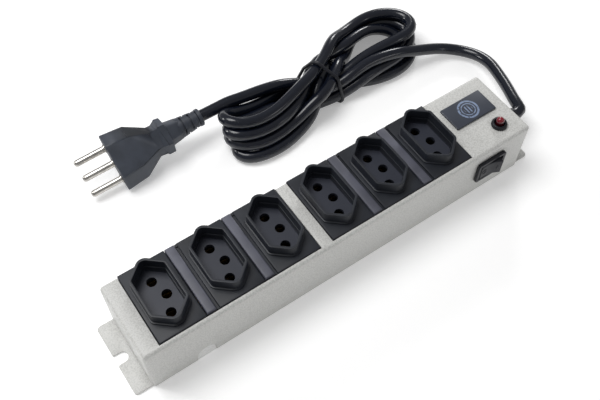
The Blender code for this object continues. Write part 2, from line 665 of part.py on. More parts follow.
def plug_ring(bm, u, half_width, half_thick, shoulder):
    """One six-sided section of the plug across its axis, at u from the face."""
    corners = [
        (half_width, 0), (shoulder, half_thick), (-shoulder, half_thick),
        (-half_width, 0), (-shoulder, -half_thick), (shoulder, -half_thick),
    ]
    return [bm.verts.new((u, v, n)) for v, n in corners]


def make_plug(finishes):
    """Moulded three-pin plug, its strain relief and its pins, lying on its lower shoulder."""
    axes = bpy.data.objects.new("plug_axes", None)
    bpy.context.scene.collection.objects.link(axes)
    axes.location = Vector(PLUG_FACE) * MM
    axes.rotation_mode = "XYZ"
    turn = Matrix.Rotation(PLUG_YAW, 4, "Z") @ Matrix.Rotation(-PLUG_PITCH, 4, "Y") @ Matrix.Rotation(-PLUG_ROLL, 4, "X")
    axes.rotation_euler = turn.to_euler("XYZ")

    # u from the face, half width, half thickness, shoulder
    sections = [
        (0.0, 17.5, 8.0, 10.0), (14.0, 16.4, 8.0, 9.0), (24.5, 9.8, 7.0, 5.4), (29.0, 9.6, 6.8, 5.2), (31.0, 11.0, 8.4, 6.0),
        (34.5, 11.0, 8.4, 6.0), (35.0, 8.0, 6.6, 4.6), (44.0, 6.4, 5.6, 3.6), (52.0, 5.4, 4.9, 3.0), (53.0, 6.0, 5.2, 3.4), (56.0, 5.2, 4.6, 3.0),
    ]
    bm = bmesh.new()
    rings = [plug_ring(bm, *section) for section in sections]
    for near, far in zip(rings, rings[1:]):
        for index in range(6):
            following = (index + 1) % 6
            bm.faces.new((near[index], near[following], far[following], far[index]))
    bm.faces.new(rings[0])
    bm.faces.new(rings[-1])
    body = store("plug_body", bm, finishes["plug"])
    body.parent = axes
    lie = Matrix.Rotation(math.pi / 2, 4, "Y")
    for word, (along, across) in zip(("live", "earth", "neutral"), pin_places()):
        tip = PIN_REACH
        profile = [(0, GAP), (PIN_RADIUS, GAP), (PIN_RADIUS, tip - 1.4), (1.3, tip), (0, tip)]
        place = Matrix.Translation((0, across, along)) @ lie.inverted()
        pin = turned(f"plug_pin_{word}", profile, finishes["nickel"], 12, place)
        pin.parent = axes


def main():
    """Clears the scene and builds every piece."""
    for item in list(bpy.data.objects):
        bpy.data.objects.remove(item, do_unlink=True)
    finishes = make_finishes()
    make_housing(finishes)
    make_cover(finishes)
    for number, x in enumerate(SOCKET_XS, start=1):
        make_socket(number, x, finishes)
    filler = 0
    for start in range(0, len(SOCKET_XS), SOCKETS_PER_WINDOW):
        for x in SOCKET_XS[start:start + SOCKETS_PER_WINDOW - 1]:
            filler += 1
            make_filler(filler, x + PLATE_WIDTH / 2 + GAP + STRIP_WIDTH / 2, finishes)
    make_bus_bar("bus_bar_live", SOCKET_Y - PIN_PITCH / 2, 0.0, finishes)
    make_bus_bar("bus_bar_earth", SOCKET_Y, EARTH_OFFSET, finishes)
    make_bus_bar("bus_bar_neutral", SOCKET_Y + PIN_PITCH / 2, 0.0, finishes)
    make_badge(finishes)
    make_lamp(finishes)
    make_switch(finishes)
    make_gland(finishes)
    make_earth_stud(finishes)
    make_inner_leads(finishes)
    make_cord(finishes)
    make_plug(finishes)


main()
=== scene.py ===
"""Studio scene of a six-way rack power strip with its tied cord.

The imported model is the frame. Lengths are in millimetres here and become metres once, where a
mesh or a curve is stored. Each sub-assembly is a class that builds its pieces and dresses the
solids that it keeps.
"""

from __future__ import annotations

import json
import logging
import math
from dataclasses import dataclass, field
from enum import Enum

import bmesh
import bpy
import numpy as np
from mathutils import Matrix, Vector

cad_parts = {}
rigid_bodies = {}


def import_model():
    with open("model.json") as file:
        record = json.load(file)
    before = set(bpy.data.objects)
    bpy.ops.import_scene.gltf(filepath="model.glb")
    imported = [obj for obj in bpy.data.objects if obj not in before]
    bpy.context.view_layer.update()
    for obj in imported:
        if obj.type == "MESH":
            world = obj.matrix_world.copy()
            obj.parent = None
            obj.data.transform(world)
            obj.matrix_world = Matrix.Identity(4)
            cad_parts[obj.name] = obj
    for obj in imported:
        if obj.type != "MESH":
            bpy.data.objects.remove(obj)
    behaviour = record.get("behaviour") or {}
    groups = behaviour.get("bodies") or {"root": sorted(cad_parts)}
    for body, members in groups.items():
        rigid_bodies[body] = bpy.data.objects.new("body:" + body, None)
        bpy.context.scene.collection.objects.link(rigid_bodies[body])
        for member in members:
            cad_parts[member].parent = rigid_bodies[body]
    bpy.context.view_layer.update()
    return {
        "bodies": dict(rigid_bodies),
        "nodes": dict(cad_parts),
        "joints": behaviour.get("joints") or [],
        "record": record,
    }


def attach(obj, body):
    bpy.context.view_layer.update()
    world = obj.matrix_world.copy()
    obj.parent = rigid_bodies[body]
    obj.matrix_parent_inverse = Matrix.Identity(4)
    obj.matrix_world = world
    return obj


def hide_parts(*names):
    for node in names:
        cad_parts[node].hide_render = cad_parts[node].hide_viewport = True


LOG = logging.getLogger("power_strip")

Colour = tuple[float, float, float]
Point = tuple[float, float, float]

MM = 0.001
GAP = 0.3
TINY = 1e-4  # corners this close are merged by a cut or a spin
NEAR = 1e-3  # corners this close count as one, or as lying in one plane

# ---- sizes that several pieces share ------------------------------------------------
END = 119.0  # half the housing's length
SIDE = 22.2  # half its width
HEIGHT = 35.4
SHEET = 1.2
PLATE_TOP = HEIGHT + 0.5
PLATE_BOTTOM = PLATE_TOP - 2.3
PLATE_FRONT = -SIDE + 2.5
FLOOR_TOP = HEIGHT - 2.6
FLOOR_BOTTOM = FLOOR_TOP - 2.0
PLATE_WIDTH = 25.4
SOCKET_PITCH = 32.4
WINDOW_LENGTH = 90.8
WINDOW_STARTS = (-109.4, -11.8)
SOCKET_XS = tuple(
    start + GAP + PLATE_WIDTH / 2 + step * SOCKET_PITCH for start in WINDOW_STARTS for step in range(3)
)
SOCKET_Y = 2.2
PIN_PLACES = ((0.0, -9.5), (3.0, 0.0), (0.0, 9.5))
SWITCH_X, SWITCH_Z = 92.4, 20.2
LAMP_X, LAMP_Y = 105.3, -11.6
CORD_EXIT_Y, CORD_EXIT_Z = -2.2, 17.0
CORD_RADIUS = 3.5


class Body(Enum):
    """The two bodies that pieces ride on."""

    STRIP = "strip"
    ROCKER = "rocker"


class Axis(Enum):
    """A direction along the frame."""

    X = 0
    Y = 1
    Z = 2


# ---- shader maths -------------------------------------------------------------------
class Shade:
    """One output socket of a material's nodes, with arithmetic."""

    def __init__(self, coat: Coating, socket: bpy.types.NodeSocket) -> None:
        """Wraps a socket.

        Args:
            coat: the material that the socket belongs to.
            socket: the output socket.
        """
        self.coat = coat
        self.socket = socket

    def _math(self, operation: str, *values: Shade | float) -> Shade:
        """A Math node.

        Args:
            operation: the node's operation.
            values: its inputs, in order.

        Returns:
            The node's result.
        """
        return self.coat.node("ShaderNodeMath", {"operation": operation}, dict(enumerate(values)))

    def function(self, operation: str, *others: Shade | float) -> Shade:
        """A Math node whose first input is this value."""
        return self._math(operation, self, *others)

    def __add__(self, other: Shade | float) -> Shade:
        """Sum."""
        return self._math("ADD", self, other)

    def __radd__(self, other: float) -> Shade:
        """Sum, reflected."""
        return self._math("ADD", other, self)

    def __sub__(self, other: Shade | float) -> Shade:
        """Difference."""
        return self._math("SUBTRACT", self, other)

    def __rsub__(self, other: float) -> Shade:
        """Difference, reflected."""
        return self._math("SUBTRACT", other, self)

    def __mul__(self, other: Shade | float) -> Shade:
        """Product."""
        return self._math("MULTIPLY", self, other)

    def __rmul__(self, other: float) -> Shade:
        """Product, reflected."""
        return self._math("MULTIPLY", other, self)

    def above(self, low: float, high: float) -> Shade:
        """How far the value has gone from low to high, between 0 and 1.

        Args:
            low: the value that gives 0.
            high: the value that gives 1.

        Returns:
            A mask with soft ends.
        """
        inputs = {"Value": self, "From Min": low, "From Max": high}
        return self.coat.node("ShaderNodeMapRange", {"interpolation_type": "SMOOTHSTEP"}, inputs)


class Coating:
    """A material with one Principled shader, built node by node."""

    def __init__(
        self, name: str, colour: Colour, roughness: float, metallic: float = 0.0, **fixed: float
    ) -> None:
        """Makes the material.

        Args:
            name: the material's name.
            colour: its base colour.
            roughness: its roughness.
            metallic: 1 for a bare metal.
            fixed: other sockets of the shader, with underscores for spaces.
        """
        self.material = bpy.data.materials.new(name)
        self.material.use_nodes = True
        self.nodes = self.material.node_tree.nodes
        self.links = self.material.node_tree.links
        self.shader = self.nodes["Principled BSDF"]
        self.shader.inputs["Base Color"].default_value = (*colour, 1.0)
        self.shader.inputs["Roughness"].default_value = roughness
        self.shader.inputs["Metallic"].default_value = metallic
        for socket, value in fixed.items():
            self.shader.inputs[socket.replace("_", " ")].default_value = value
        self.material.diffuse_color = (*colour, 1.0)

    def node(self, kind: str, settings: dict, inputs: dict, output: int | str = 0) -> Shade:
        """Adds a node.

        Args:
            kind: the node's type.
            settings: its own settings, which are made first.
            inputs: values or links for its sockets, by name or number.
            output: the socket that is handed back.

        Returns:
            The chosen output.
        """
        made = self.nodes.new(kind)
        for key, value in settings.items():
            setattr(made, key, value)
        for key, value in inputs.items():
            if isinstance(value, Shade):
                self.links.new(value.socket, made.inputs[key])
            else:
                made.inputs[key].default_value = value
        return Shade(self, made.outputs[output])

    def feed(self, socket: str, value: Shade) -> None:
        """Links a value to one of the shader's sockets."""
        self.links.new(value.socket, self.shader.inputs[socket])

    def place(self) -> Shade:
        """The Object coordinates."""
        return self.node("ShaderNodeTexCoord", {}, {}, "Object")

    def stretched(self, scale: Point) -> Shade:
        """Object coordinates stretched along each axis."""
        return self.node("ShaderNodeMapping", {}, {"Vector": self.place(), "Scale": scale})

    def noise(self, size: float, detail: float = 2.0) -> Shade:
        """Soft noise.

        Args:
            size: the width of a patch, in millimetres.
            detail: how many finer layers it has.

        Returns:
            A value near 0.5.
        """
        inputs = {"Vector": self.place(), "Scale": 1.0 / (size * MM), "Detail": detail}
        return self.node("ShaderNodeTexNoise", {}, inputs)

    def cells(self, size: float) -> Shade:
        """Distance from the middles of soft cells of a given size in millimetres."""
        inputs = {"Vector": self.place(), "Scale": 1.0 / (size * MM)}
        return self.node("ShaderNodeTexVoronoi", {"feature": "SMOOTH_F1"}, inputs, "Distance")

    def mix(self, factor: Shade, near: Colour | Shade, far: Colour | Shade) -> Shade:
        """Blends two colours by a factor."""
        inputs = {0: factor}
        for socket, tone in ((6, near), (7, far)):
            inputs[socket] = tone if isinstance(tone, Shade) else (*tone, 1.0)
        return self.node("ShaderNodeMix", {"data_type": "RGBA"}, inputs, 2)

    def bump(self, height: Shade, depth: float) -> None:
        """Feeds a height to the shader's normal.

        Args:
            height: the height, about 0 to 1.
            depth: what 1 stands for, in millimetres.
        """
        inputs = {"Height": height, "Distance": depth * MM, "Strength": 1.0}
        self.feed("Normal", self.node("ShaderNodeBump", {}, inputs))

    def split(self) -> dict[str, Shade]:
        """The three Object coordinates apart."""
        made = self.nodes.new("ShaderNodeSeparateXYZ")
        self.links.new(self.place().socket, made.inputs[0])
        return {axis: Shade(self, made.outputs[axis]) for axis in "XYZ"}


# ---- finishes -----------------------------------------------------------------------
@dataclass(frozen=True)
class HammeredPaint:
    """Light powder coat with a fine hammered fleck."""

    name: str
    colour: Colour
    fleck: Colour
    grain: float = 1.15
    depth: float = 0.05
    roughness: float = 0.42

    def make(self) -> bpy.types.Material:
        """Builds the material."""
        coat = Coating(self.name, self.colour, self.roughness, Specular_IOR_Level=0.5)
        cells = coat.cells(self.grain)
        mottle = coat.noise(self.grain * 0.9, 3.0)
        patch = coat.noise(60.0, 2.0)
        fleck = (mottle * 1.4 - cells * 0.5).above(0.32, 0.62)
        dirt = patch.above(0.35, 0.75) * 0.08
        tone = coat.mix(fleck, self.fleck, self.colour)
        shade = tuple(part * 0.86 for part in self.colour)
        coat.feed("Base Color", coat.mix(dirt, tone, shade))
        coat.feed("Roughness", self.roughness + 0.22 * fleck - 0.1)
        coat.bump(mottle * 0.6 + cells * 0.7, self.depth)
        return coat.material


@dataclass(frozen=True)
class MouldedPlastic:
    """Plastic with a fine spark-eroded grain, with painted light: a lighter tone below a level where that is
    given.
    """

    name: str
    colour: Colour
    roughness: float
    grain: float = 0.35
    depth: float = 0.012
    painted_light: Colour | None = None
    painted_light_level: tuple[float, float] = (0.0, 1.0)
    specular: float = 0.5

    def make(self) -> bpy.types.Material:
        """Builds the material."""
        coat = Coating(self.name, self.colour, self.roughness, Specular_IOR_Level=self.specular)
        fine = coat.noise(self.grain, 3.0)
        cloud = coat.noise(14.0, 3.0)
        darker = tuple(part * 0.8 for part in self.colour)
        brighter = tuple(min(1.0, part * 1.22 + 0.002) for part in self.colour)
        tone = coat.mix(cloud.above(0.3, 0.7), darker, brighter)
        # painted light: faces below the level, such as the socket recess floors, take a lighter tone
        if self.painted_light:
            level = coat.split()["Z"].above(self.painted_light_level[0] * MM, self.painted_light_level[1] * MM)
            tone = coat.mix(level, self.painted_light, tone)
        coat.feed("Base Color", tone)
        coat.feed("Roughness", self.roughness - 0.08 + 0.12 * cloud + 0.06 * fine)
        coat.bump(fine, self.depth)
        return coat.material


@dataclass(frozen=True)
class Sheath:
    """Smooth extruded plastic of a lead."""

    name: str
    colour: Colour
    roughness: float = 0.4

    def make(self) -> bpy.types.Material:
        """Builds the material."""
        coat = Coating(self.name, self.colour, self.roughness)
        ripple = coat.noise(6.0, 2.0)
        dust = coat.noise(0.9, 4.0).above(0.58, 0.8)
        brighter = tuple(part * 1.3 + 0.002 for part in self.colour)
        coat.feed("Base Color", coat.mix(dust * 0.6, self.colour, brighter))
        coat.feed("Roughness", self.roughness - 0.04 + 0.1 * ripple + 0.1 * dust)
        coat.bump(ripple, 0.015)
        return coat.material


@dataclass(frozen=True)
class PlatedMetal:
    """Bare or plated metal with fine drawing marks along X."""

    name: str
    colour: Colour
    roughness: float
    marks: Point = (60.0, 900.0, 900.0)

    def make(self) -> bpy.types.Material:
        """Builds the material."""
        coat = Coating(self.name, self.colour, self.roughness, 1.0)
        inputs = {"Vector": coat.stretched(self.marks), "Scale": 3.0, "Detail": 3.0}
        marks = coat.node("ShaderNodeTexNoise", {}, inputs)
        stain = coat.noise(5.0, 3.0).above(0.45, 0.75)
        darker = tuple(part * 0.72 for part in self.colour)
        coat.feed("Base Color", coat.mix(stain, self.colour, darker))
        coat.feed("Roughness", self.roughness - 0.05 + 0.12 * marks + 0.1 * stain)
        coat.bump(marks, 0.006)
        return coat.material


@dataclass(frozen=True)
class RedLens:
    """Clear red moulded lens over a small lamp, with painted shade that darkens it from the crown down to its
    foot.
    """

    name: str
    colour: Colour = (0.42, 0.006, 0.014)
    crown_colour: Colour = (0.22, 0.006, 0.018)
    shaded_foot_colour: Colour = (0.03, 0.001, 0.004)
    foot: float = 38.0
    crown: float = 41.6

    def make(self) -> bpy.types.Material:
        """Builds the material."""
        coat = Coating(self.name, self.colour, 0.08, Coat_Weight=0.6, Coat_Roughness=0.03)
        # painted shade: the lens darkens from its crown down to its foot
        level = coat.split()["Z"].above(self.foot * MM, self.crown * MM)
        swirl = coat.noise(1.6, 2.0)
        coat.feed("Base Color", coat.mix(level, self.shaded_foot_colour, self.crown_colour))
        coat.feed("Roughness", 0.06 + 0.06 * swirl)
        return coat.material


@dataclass(frozen=True)
class BadgePlastic:
    """Slate plate with a pale printed symbol: two rings round short bars."""

    name: str
    colour: Colour = (0.030, 0.036, 0.052)
    ink: Colour = (0.24, 0.31, 0.46)
    centre: tuple[float, float] = (97.7, 5.4)
    outer_ring: tuple[float, float] = (5.6, 0.55)
    inner_ring: tuple[float, float] = (3.9, 0.3)
    bar_pitch: float = 0.9
    bar_reach: float = 2.5
    edge: float = 0.15

    def make(self) -> bpy.types.Material:
        """Builds the material."""
        coat = Coating(self.name, self.colour, 0.42, Coat_Weight=0.1)
        parts = coat.split()
        x = parts["X"] - self.centre[0] * MM
        y = parts["Y"] - self.centre[1] * MM
        reach = (x * x + y * y).function("SQRT")
        rings = self._ring(reach, *self.outer_ring).function("MAXIMUM", self._ring(reach, *self.inner_ring))
        half_bar = self.bar_pitch / 2
        bars = x.function("PINGPONG", self.bar_pitch * MM).above(half_bar * MM, (half_bar + self.edge) * MM)
        within = 1.0 - reach.above(self.bar_reach * MM, (self.bar_reach + 0.2) * MM)
        mark = rings.function("MAXIMUM", bars * within)
        wear = coat.noise(1.2, 3.0).above(0.25, 0.5)
        cloud = coat.noise(9.0, 3.0)
        base = coat.mix(cloud, self.colour, tuple(part * 1.35 for part in self.colour))
        coat.feed("Base Color", coat.mix(mark * wear * 0.9, base, self.ink))
        coat.feed("Roughness", 0.36 + 0.12 * cloud)
        coat.bump(coat.noise(0.4, 2.0), 0.008)
        return coat.material

    def _ring(self, reach: Shade, radius: float, half: float) -> Shade:
        """A thin ring mask.

        Args:
            reach: distance from the centre, in metres.
            radius: the ring's radius in millimetres.
            half: half its width in millimetres.

        Returns:
            1 on the ring.
        """
        inner, outer = radius - half, radius + half
        near = reach.above((inner - self.edge) * MM, (inner + self.edge) * MM)
        return near * (1.0 - reach.above((outer - self.edge) * MM, (outer + self.edge) * MM))


class Palette:
    """Every finish, by the name of its slot in the record."""

    def __init__(self) -> None:
        """Builds the materials."""
        finishes = (
            HammeredPaint("textured_paint", (0.65, 0.65, 0.63), (0.53, 0.53, 0.51), 0.8, 0.06),
            HammeredPaint("cover_paint", (0.86, 0.86, 0.85), (0.78, 0.78, 0.77), 1.2, 0.03),
            # socket plates with painted light: a lighter tone on the recess floors below 33 mm, blending out
            # by 35.2 mm
            MouldedPlastic(
                "socket_plastic", (0.013, 0.0155, 0.022), 0.42, specular=0.35,
                painted_light=(0.036, 0.040, 0.056), painted_light_level=(33.0, 35.2),
            ),
            MouldedPlastic("carrier_plastic", (0.03, 0.03, 0.03), 0.6),
            MouldedPlastic("filler_plastic", (0.085, 0.088, 0.115), 0.42, 0.5, 0.02),
            PlatedMetal("brass", (0.26, 0.18, 0.07), 0.42),
            PlatedMetal("zinc_plate", (0.58, 0.58, 0.56), 0.38),
            PlatedMetal("nickel_plate", (0.58, 0.56, 0.53), 0.24),
            BadgePlastic("badge_plastic"),
            RedLens("red_lens"),
            MouldedPlastic("switch_plastic", (0.012, 0.013, 0.018), 0.42, specular=0.3),
            Sheath("cord_sheath", (0.005, 0.007, 0.014), 0.2),
            MouldedPlastic("plug_rubber", (0.037, 0.044, 0.060), 0.5, 0.6, 0.02),
            Sheath("live_sheath", (0.10, 0.035, 0.012)),
            Sheath("neutral_sheath", (0.02, 0.07, 0.32)),
            Sheath("earth_sheath", (0.05, 0.22, 0.04)),
        )
        self.materials = {finish.name: finish.make() for finish in finishes}

    def __getitem__(self, name: str) -> bpy.types.Material:
        """The material of a slot."""
        return self.materials[name]


# ---- meshes -------------------------------------------------------------------------
def verts_in(geometry: list) -> list[bmesh.types.BMVert]:
    """The vertices among what an operator made."""
    return [item for item in geometry if isinstance(item, bmesh.types.BMVert)]


def arch(half: float, spring: float, rise: float, steps: int = 24) -> list[tuple[float, float]]:
    """Outline of a round-topped opening that stands on its base.

    Args:
        half: half its width.
        spring: how high its sides stand before they turn in.
        rise: how far its top stands over that.
        steps: pieces in the round top.

    Returns:
        The points from the right foot over the top to the left foot.
    """
    outline = [(half, 0.0)]
    for step in range(steps + 1):
        turn = math.pi * step / steps
        outline.append((half * math.cos(turn), spring + rise * math.sin(turn)))
    outline.append((-half, 0.0))
    return outline


class Solid:
    """A mesh in millimetres that bmesh operators shape and that ends as one piece."""

    def __init__(self) -> None:
        """Starts empty."""
        self.bm = bmesh.new()

    @classmethod
    def box(cls, low: Point, high: Point) -> Solid:
        """A box between two corners."""
        solid = cls()
        near, far = Vector(low), Vector(high)
        bmesh.ops.create_cube(solid.bm, size=1.0)
        bmesh.ops.scale(solid.bm, vec=far - near, verts=solid.bm.verts)
        bmesh.ops.translate(solid.bm, vec=(near + far) / 2, verts=solid.bm.verts)
        return solid

    @classmethod
    def plate(
        cls, corners: list[tuple[float, float]], radii: list[float], z: float, segments: int = 5
    ) -> Solid:
        """A flat face whose corners are rounded, one radius for each corner.

        Args:
            corners: the sharp outline.
            radii: how far each corner is cut back along its edges.
            z: the height of the face.
            segments: pieces in each rounding.

        Returns:
            The face alone.
        """
        solid = cls()
        verts = [solid.bm.verts.new((x, y, z)) for x, y in corners]
        solid.bm.faces.new(verts)
        for vert, radius in zip(verts, radii):
            if radius:
                bmesh.ops.bevel(
                    solid.bm, geom=[vert], offset=radius, offset_type="OFFSET", segments=segments,
                    profile=0.5, affect="VERTICES", material=-1,
                )
        return solid

    @classmethod
    def turned(cls, profile: list[tuple[float, float]], sides: int = 48, closed: bool = False) -> Solid:
        """A profile of (radius, height) spun round Z.

        Args:
            profile: the points in order.
            sides: steps round the axis.
            closed: joins the last point to the first, for a ring.

        Returns:
            The spun form.
        """
        solid = cls()
        bm = solid.bm
        verts = [bm.verts.new((radius, 0.0, height)) for radius, height in profile]
        edges = [bm.edges.new(pair) for pair in zip(verts, verts[1:])]
        if closed:
            edges.append(bm.edges.new((verts[-1], verts[0])))
        bmesh.ops.spin(
            bm, geom=verts + edges, cent=(0, 0, 0), axis=(0, 0, 1), angle=math.tau, steps=sides,
            use_merge=True,
        )
        bmesh.ops.remove_doubles(bm, verts=bm.verts, dist=TINY)
        bmesh.ops.recalc_face_normals(bm, faces=bm.faces)
        return solid

    def raise_face(self, face: bmesh.types.BMFace, offset: Point) -> bmesh.types.BMFace:
        """Extrudes one face by an offset and hands back the moved face."""
        grown = bmesh.ops.extrude_face_region(self.bm, geom=[face])["geom"]
        bmesh.ops.translate(self.bm, vec=offset, verts=verts_in(grown))
        top = next(item for item in grown if isinstance(item, bmesh.types.BMFace))
        if face.is_valid:
            bmesh.ops.delete(self.bm, geom=[face], context="FACES_ONLY")
        return top

    def inset(self, face: bmesh.types.BMFace, width: float) -> None:
        """Insets one face, which stays the inner one."""
        bmesh.ops.inset_region(
            self.bm, faces=[face], thickness=width, use_even_offset=True, use_boundary=True
        )

    def thicken(self, z: float, thickness: float) -> Solid:
        """Makes a closed slab out of a lone flat face.

        Args:
            z: the height of the face.
            thickness: how far the slab rises over it.

        Returns:
            The same solid.
        """
        self.raise_face(self.bm.faces[:][0], (0, 0, thickness))
        bmesh.ops.contextual_create(self.bm, geom=self.edges_on(Axis.Z, z))
        return self.face_outwards()

    def edges_on(self, axis: Axis, value: float) -> list[bmesh.types.BMEdge]:
        """Edges that lie in a plane across an axis."""
        return [
            edge for edge in self.bm.edges
            if all(abs(vert.co[axis.value] - value) < NEAR for vert in edge.verts)
        ]

    def edges_along(self, axis: Axis) -> list[bmesh.types.BMEdge]:
        """Edges that run along an axis."""
        found = []
        for edge in self.bm.edges:
            run = edge.verts[1].co - edge.verts[0].co
            if abs(run[axis.value]) > 0.999 * run.length:
                found.append(edge)
        return found

    def sharp_edges(self, degrees: float = 40.0) -> list[bmesh.types.BMEdge]:
        """Edges where two faces meet at more than an angle."""
        limit = math.radians(degrees)
        self.bm.normal_update()
        return [
            edge for edge in self.bm.edges if len(edge.link_faces) == 2 and edge.calc_face_angle() > limit
        ]

    def open_edges(self, axis: Axis, value: float) -> list[bmesh.types.BMEdge]:
        """Edges in a plane across an axis that end a face with no neighbour."""
        return [edge for edge in self.edges_on(axis, value) if len(edge.link_faces) == 1]

    def bevel(self, edges: list[bmesh.types.BMEdge], radius: float, segments: int = 3) -> None:
        """Rounds edges.

        Args:
            edges: the edges to round.
            radius: the rounding's radius.
            segments: pieces in the rounding.
        """
        bmesh.ops.bevel(
            self.bm, geom=list(dict.fromkeys(edges)), offset=radius, offset_type="OFFSET", segments=segments,
            profile=0.5, affect="EDGES", clamp_overlap=True, material=-1,
        )

    def slice(self, axis: Axis, value: float) -> None:
        """Cuts every face along a plane across an axis."""
        point, normal = [0.0, 0.0, 0.0], [0.0, 0.0, 0.0]
        point[axis.value], normal[axis.value] = value, 1.0
        everything = self.bm.verts[:] + self.bm.edges[:] + self.bm.faces[:]
        bmesh.ops.bisect_plane(self.bm, geom=everything, plane_co=point, plane_no=normal, dist=TINY)

    def drop_faces(self, low: Point, high: Point) -> list[bmesh.types.BMEdge]:
        """Deletes the faces whose middle is in a box.

        Args:
            low: the box's lowest corner.
            high: the box's highest corner.

        Returns:
            The edges left round the opening.
        """
        gone = [
            face for face in self.bm.faces
            if all(a < c < b for a, c, b in zip(low, face.calc_center_median(), high))
        ]
        rim = dict.fromkeys(edge for face in gone for edge in face.edges)
        bmesh.ops.delete(self.bm, geom=gone, context="FACES")
        return [edge for edge in rim if edge.is_valid and len(edge.link_faces) == 1]

    def circle(self, radius: float, sides: int, place: Matrix) -> list[bmesh.types.BMEdge]:
        """Adds a ring of edges.

        Args:
            radius: the ring's radius.
            sides: how many edges it has.
            place: where it lies, flat before it is placed.

        Returns:
            The ring's edges.
        """
        made = bmesh.ops.create_circle(self.bm, radius=radius, segments=sides, matrix=place)
        ring = set(made["verts"])
        return [edge for edge in self.bm.edges if edge.verts[0] in ring and edge.verts[1] in ring]

    def fill(self, edges: list[bmesh.types.BMEdge]) -> None:
        """Fills between loops of edges in one plane, leaving inner loops open."""
        bmesh.ops.triangle_fill(self.bm, edges=edges, use_beauty=True)

    def pull_edges(self, edges: list[bmesh.types.BMEdge], offset: Point) -> None:
        """Pulls a skirt out of loops of edges."""
        grown = bmesh.ops.extrude_edge_only(self.bm, edges=edges)["geom"]
        bmesh.ops.translate(self.bm, vec=offset, verts=verts_in(grown))

    def move(self, matrix: Matrix) -> Solid:
        """Moves the whole mesh."""
        bmesh.ops.transform(self.bm, matrix=matrix, verts=self.bm.verts)
        return self

    def absorb(self, *others: Solid) -> Solid:
        """Takes other meshes into this one."""
        for other in others:
            mesh = bpy.data.meshes.new("absorbed")
            other.bm.to_mesh(mesh)
            self.bm.from_mesh(mesh)
            bpy.data.meshes.remove(mesh)
            other.bm.free()
        return self

    def tidy(self) -> Solid:
        """Removes edges and corners that belong to no face."""
        spare = [edge for edge in self.bm.edges if not edge.link_faces]
        bmesh.ops.delete(self.bm, geom=spare, context="EDGES")
        alone = [vertex for vertex in self.bm.verts if not vertex.link_faces]
        bmesh.ops.delete(self.bm, geom=alone, context="VERTS")
        return self

    def face_outwards(self) -> Solid:
        """Turns every face outwards."""
        bmesh.ops.recalc_face_normals(self.bm, faces=self.bm.faces)
        return self

    def object(self, name: str, material: bpy.types.Material, smooth: float = 35.0) -> bpy.types.Object:
        """Stores the mesh as an object in metres.

        Args:
            name: the object's name.
            material: its material.
            smooth: edges sharper than this many degrees stay sharp.

        Returns:
            The object.
        """
        bmesh.ops.scale(self.bm, vec=(MM, MM, MM), verts=self.bm.verts)
        mesh = bpy.data.meshes.new(name)
        self.bm.to_mesh(mesh)
        self.bm.free()
        mesh.materials.append(material)
        mesh.shade_smooth()
        mesh.set_sharp_from_angle(angle=math.radians(smooth))
        made = bpy.data.objects.new(name, mesh)
        bpy.context.scene.collection.objects.link(made)
        return made


class Maker:
    """Puts finished pieces on their bodies and dresses the solids that stay."""

    def __init__(self, frame: dict, palette: Palette) -> None:
        """Keeps the frame and the finishes.

        Args:
            palette: the finishes.
        """
        self.nodes = frame["nodes"]
        self.palette = palette
        self.slots = {part["node"]: part["material_slot"] for part in frame["record"]["subparts"]}

    def place(
        self, piece: bpy.types.Object, slot: str, *nodes: str, body: Body = Body.STRIP
    ) -> bpy.types.Object:
        """Rides a piece on its body and says what it stands for.

        Args:
            piece: the finished object.
            slot: the record's slot for its finish; not used.
            nodes: the solids that it replaces.
            body: the body that it rides on.

        Returns:
            The same piece.
        """
        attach(piece, body.value)
        if nodes:
            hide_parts(*nodes)
        LOG.info("%s on %s, for %s", piece.name, body.value, ", ".join(nodes) or "nothing")
        return piece

    def finish(
        self, solid: Solid, name: str, slot: str, *nodes: str, body: Body = Body.STRIP, smooth: float = 35.0
    ) -> bpy.types.Object:
        """Turns a solid into a placed piece in its slot's finish.

        Args:
            solid: the shaped mesh.
            name: the piece's name.
            slot: the record's slot for its finish.
            nodes: the solids that it replaces.
            body: the body that it rides on.
            smooth: edges sharper than this many degrees stay sharp.

        Returns:
            The piece.
        """
        return self.place(solid.object(name, self.palette[slot], smooth), slot, *nodes, body=body)

    def dress(self, *names: str) -> None:
        """Gives solids that stay their finish."""
        for name in names:
            node = self.nodes[name]
            node.data.materials.clear()
            node.data.materials.append(self.palette[self.slots[name]])
            LOG.info("%s dressed in %s", name, self.slots[name])


def curve_through(points: list[Vector], step: float) -> list[Vector]:
    """Points about one step apart on a smooth curve through the given ones.

    Args:
        points: the stations, in millimetres.
        step: the spacing wanted.

    Returns:
        The finer points.
    """
    result = []
    for index in range(len(points) - 1):
        near, far = points[index], points[index + 1]
        before = points[index - 1] if index else near * 2 - far
        after = points[index + 2] if index + 2 < len(points) else far * 2 - near
        count = max(2, round((far - near).length / step))
        for part in range(count):
            t = part / count
            result.append(
                0.5 * (2 * near + (far - before) * t + (2 * before - 5 * near + 4 * far - after) * t * t
                       + (3 * near - before - 3 * far + after) * t ** 3)
            )
    result.append(points[-1])
    return result


def lead(name: str, points: list[Vector], radius: float, material: bpy.types.Material) -> bpy.types.Object:
    """A round lead as a curve of one open spline.

    Args:
        name: the object's name.
        points: its centre line in millimetres.
        radius: its radius in millimetres.
        material: its finish.

    Returns:
        The curve object.
    """
    curve = bpy.data.curves.new(name, "CURVE")
    curve.dimensions = "3D"
    curve.bevel_depth = radius * MM
    curve.bevel_resolution = 6
    curve.use_fill_caps = True
    spline = curve.splines.new("POLY")
    spline.points.add(len(points) - 1)
    for knot, point in zip(spline.points, points):
        knot.co = (*(point * MM), 1.0)
    spline.use_smooth = True
    curve.materials.append(material)
    made = bpy.data.objects.new(name, curve)
    bpy.context.scene.collection.objects.link(made)
    return made


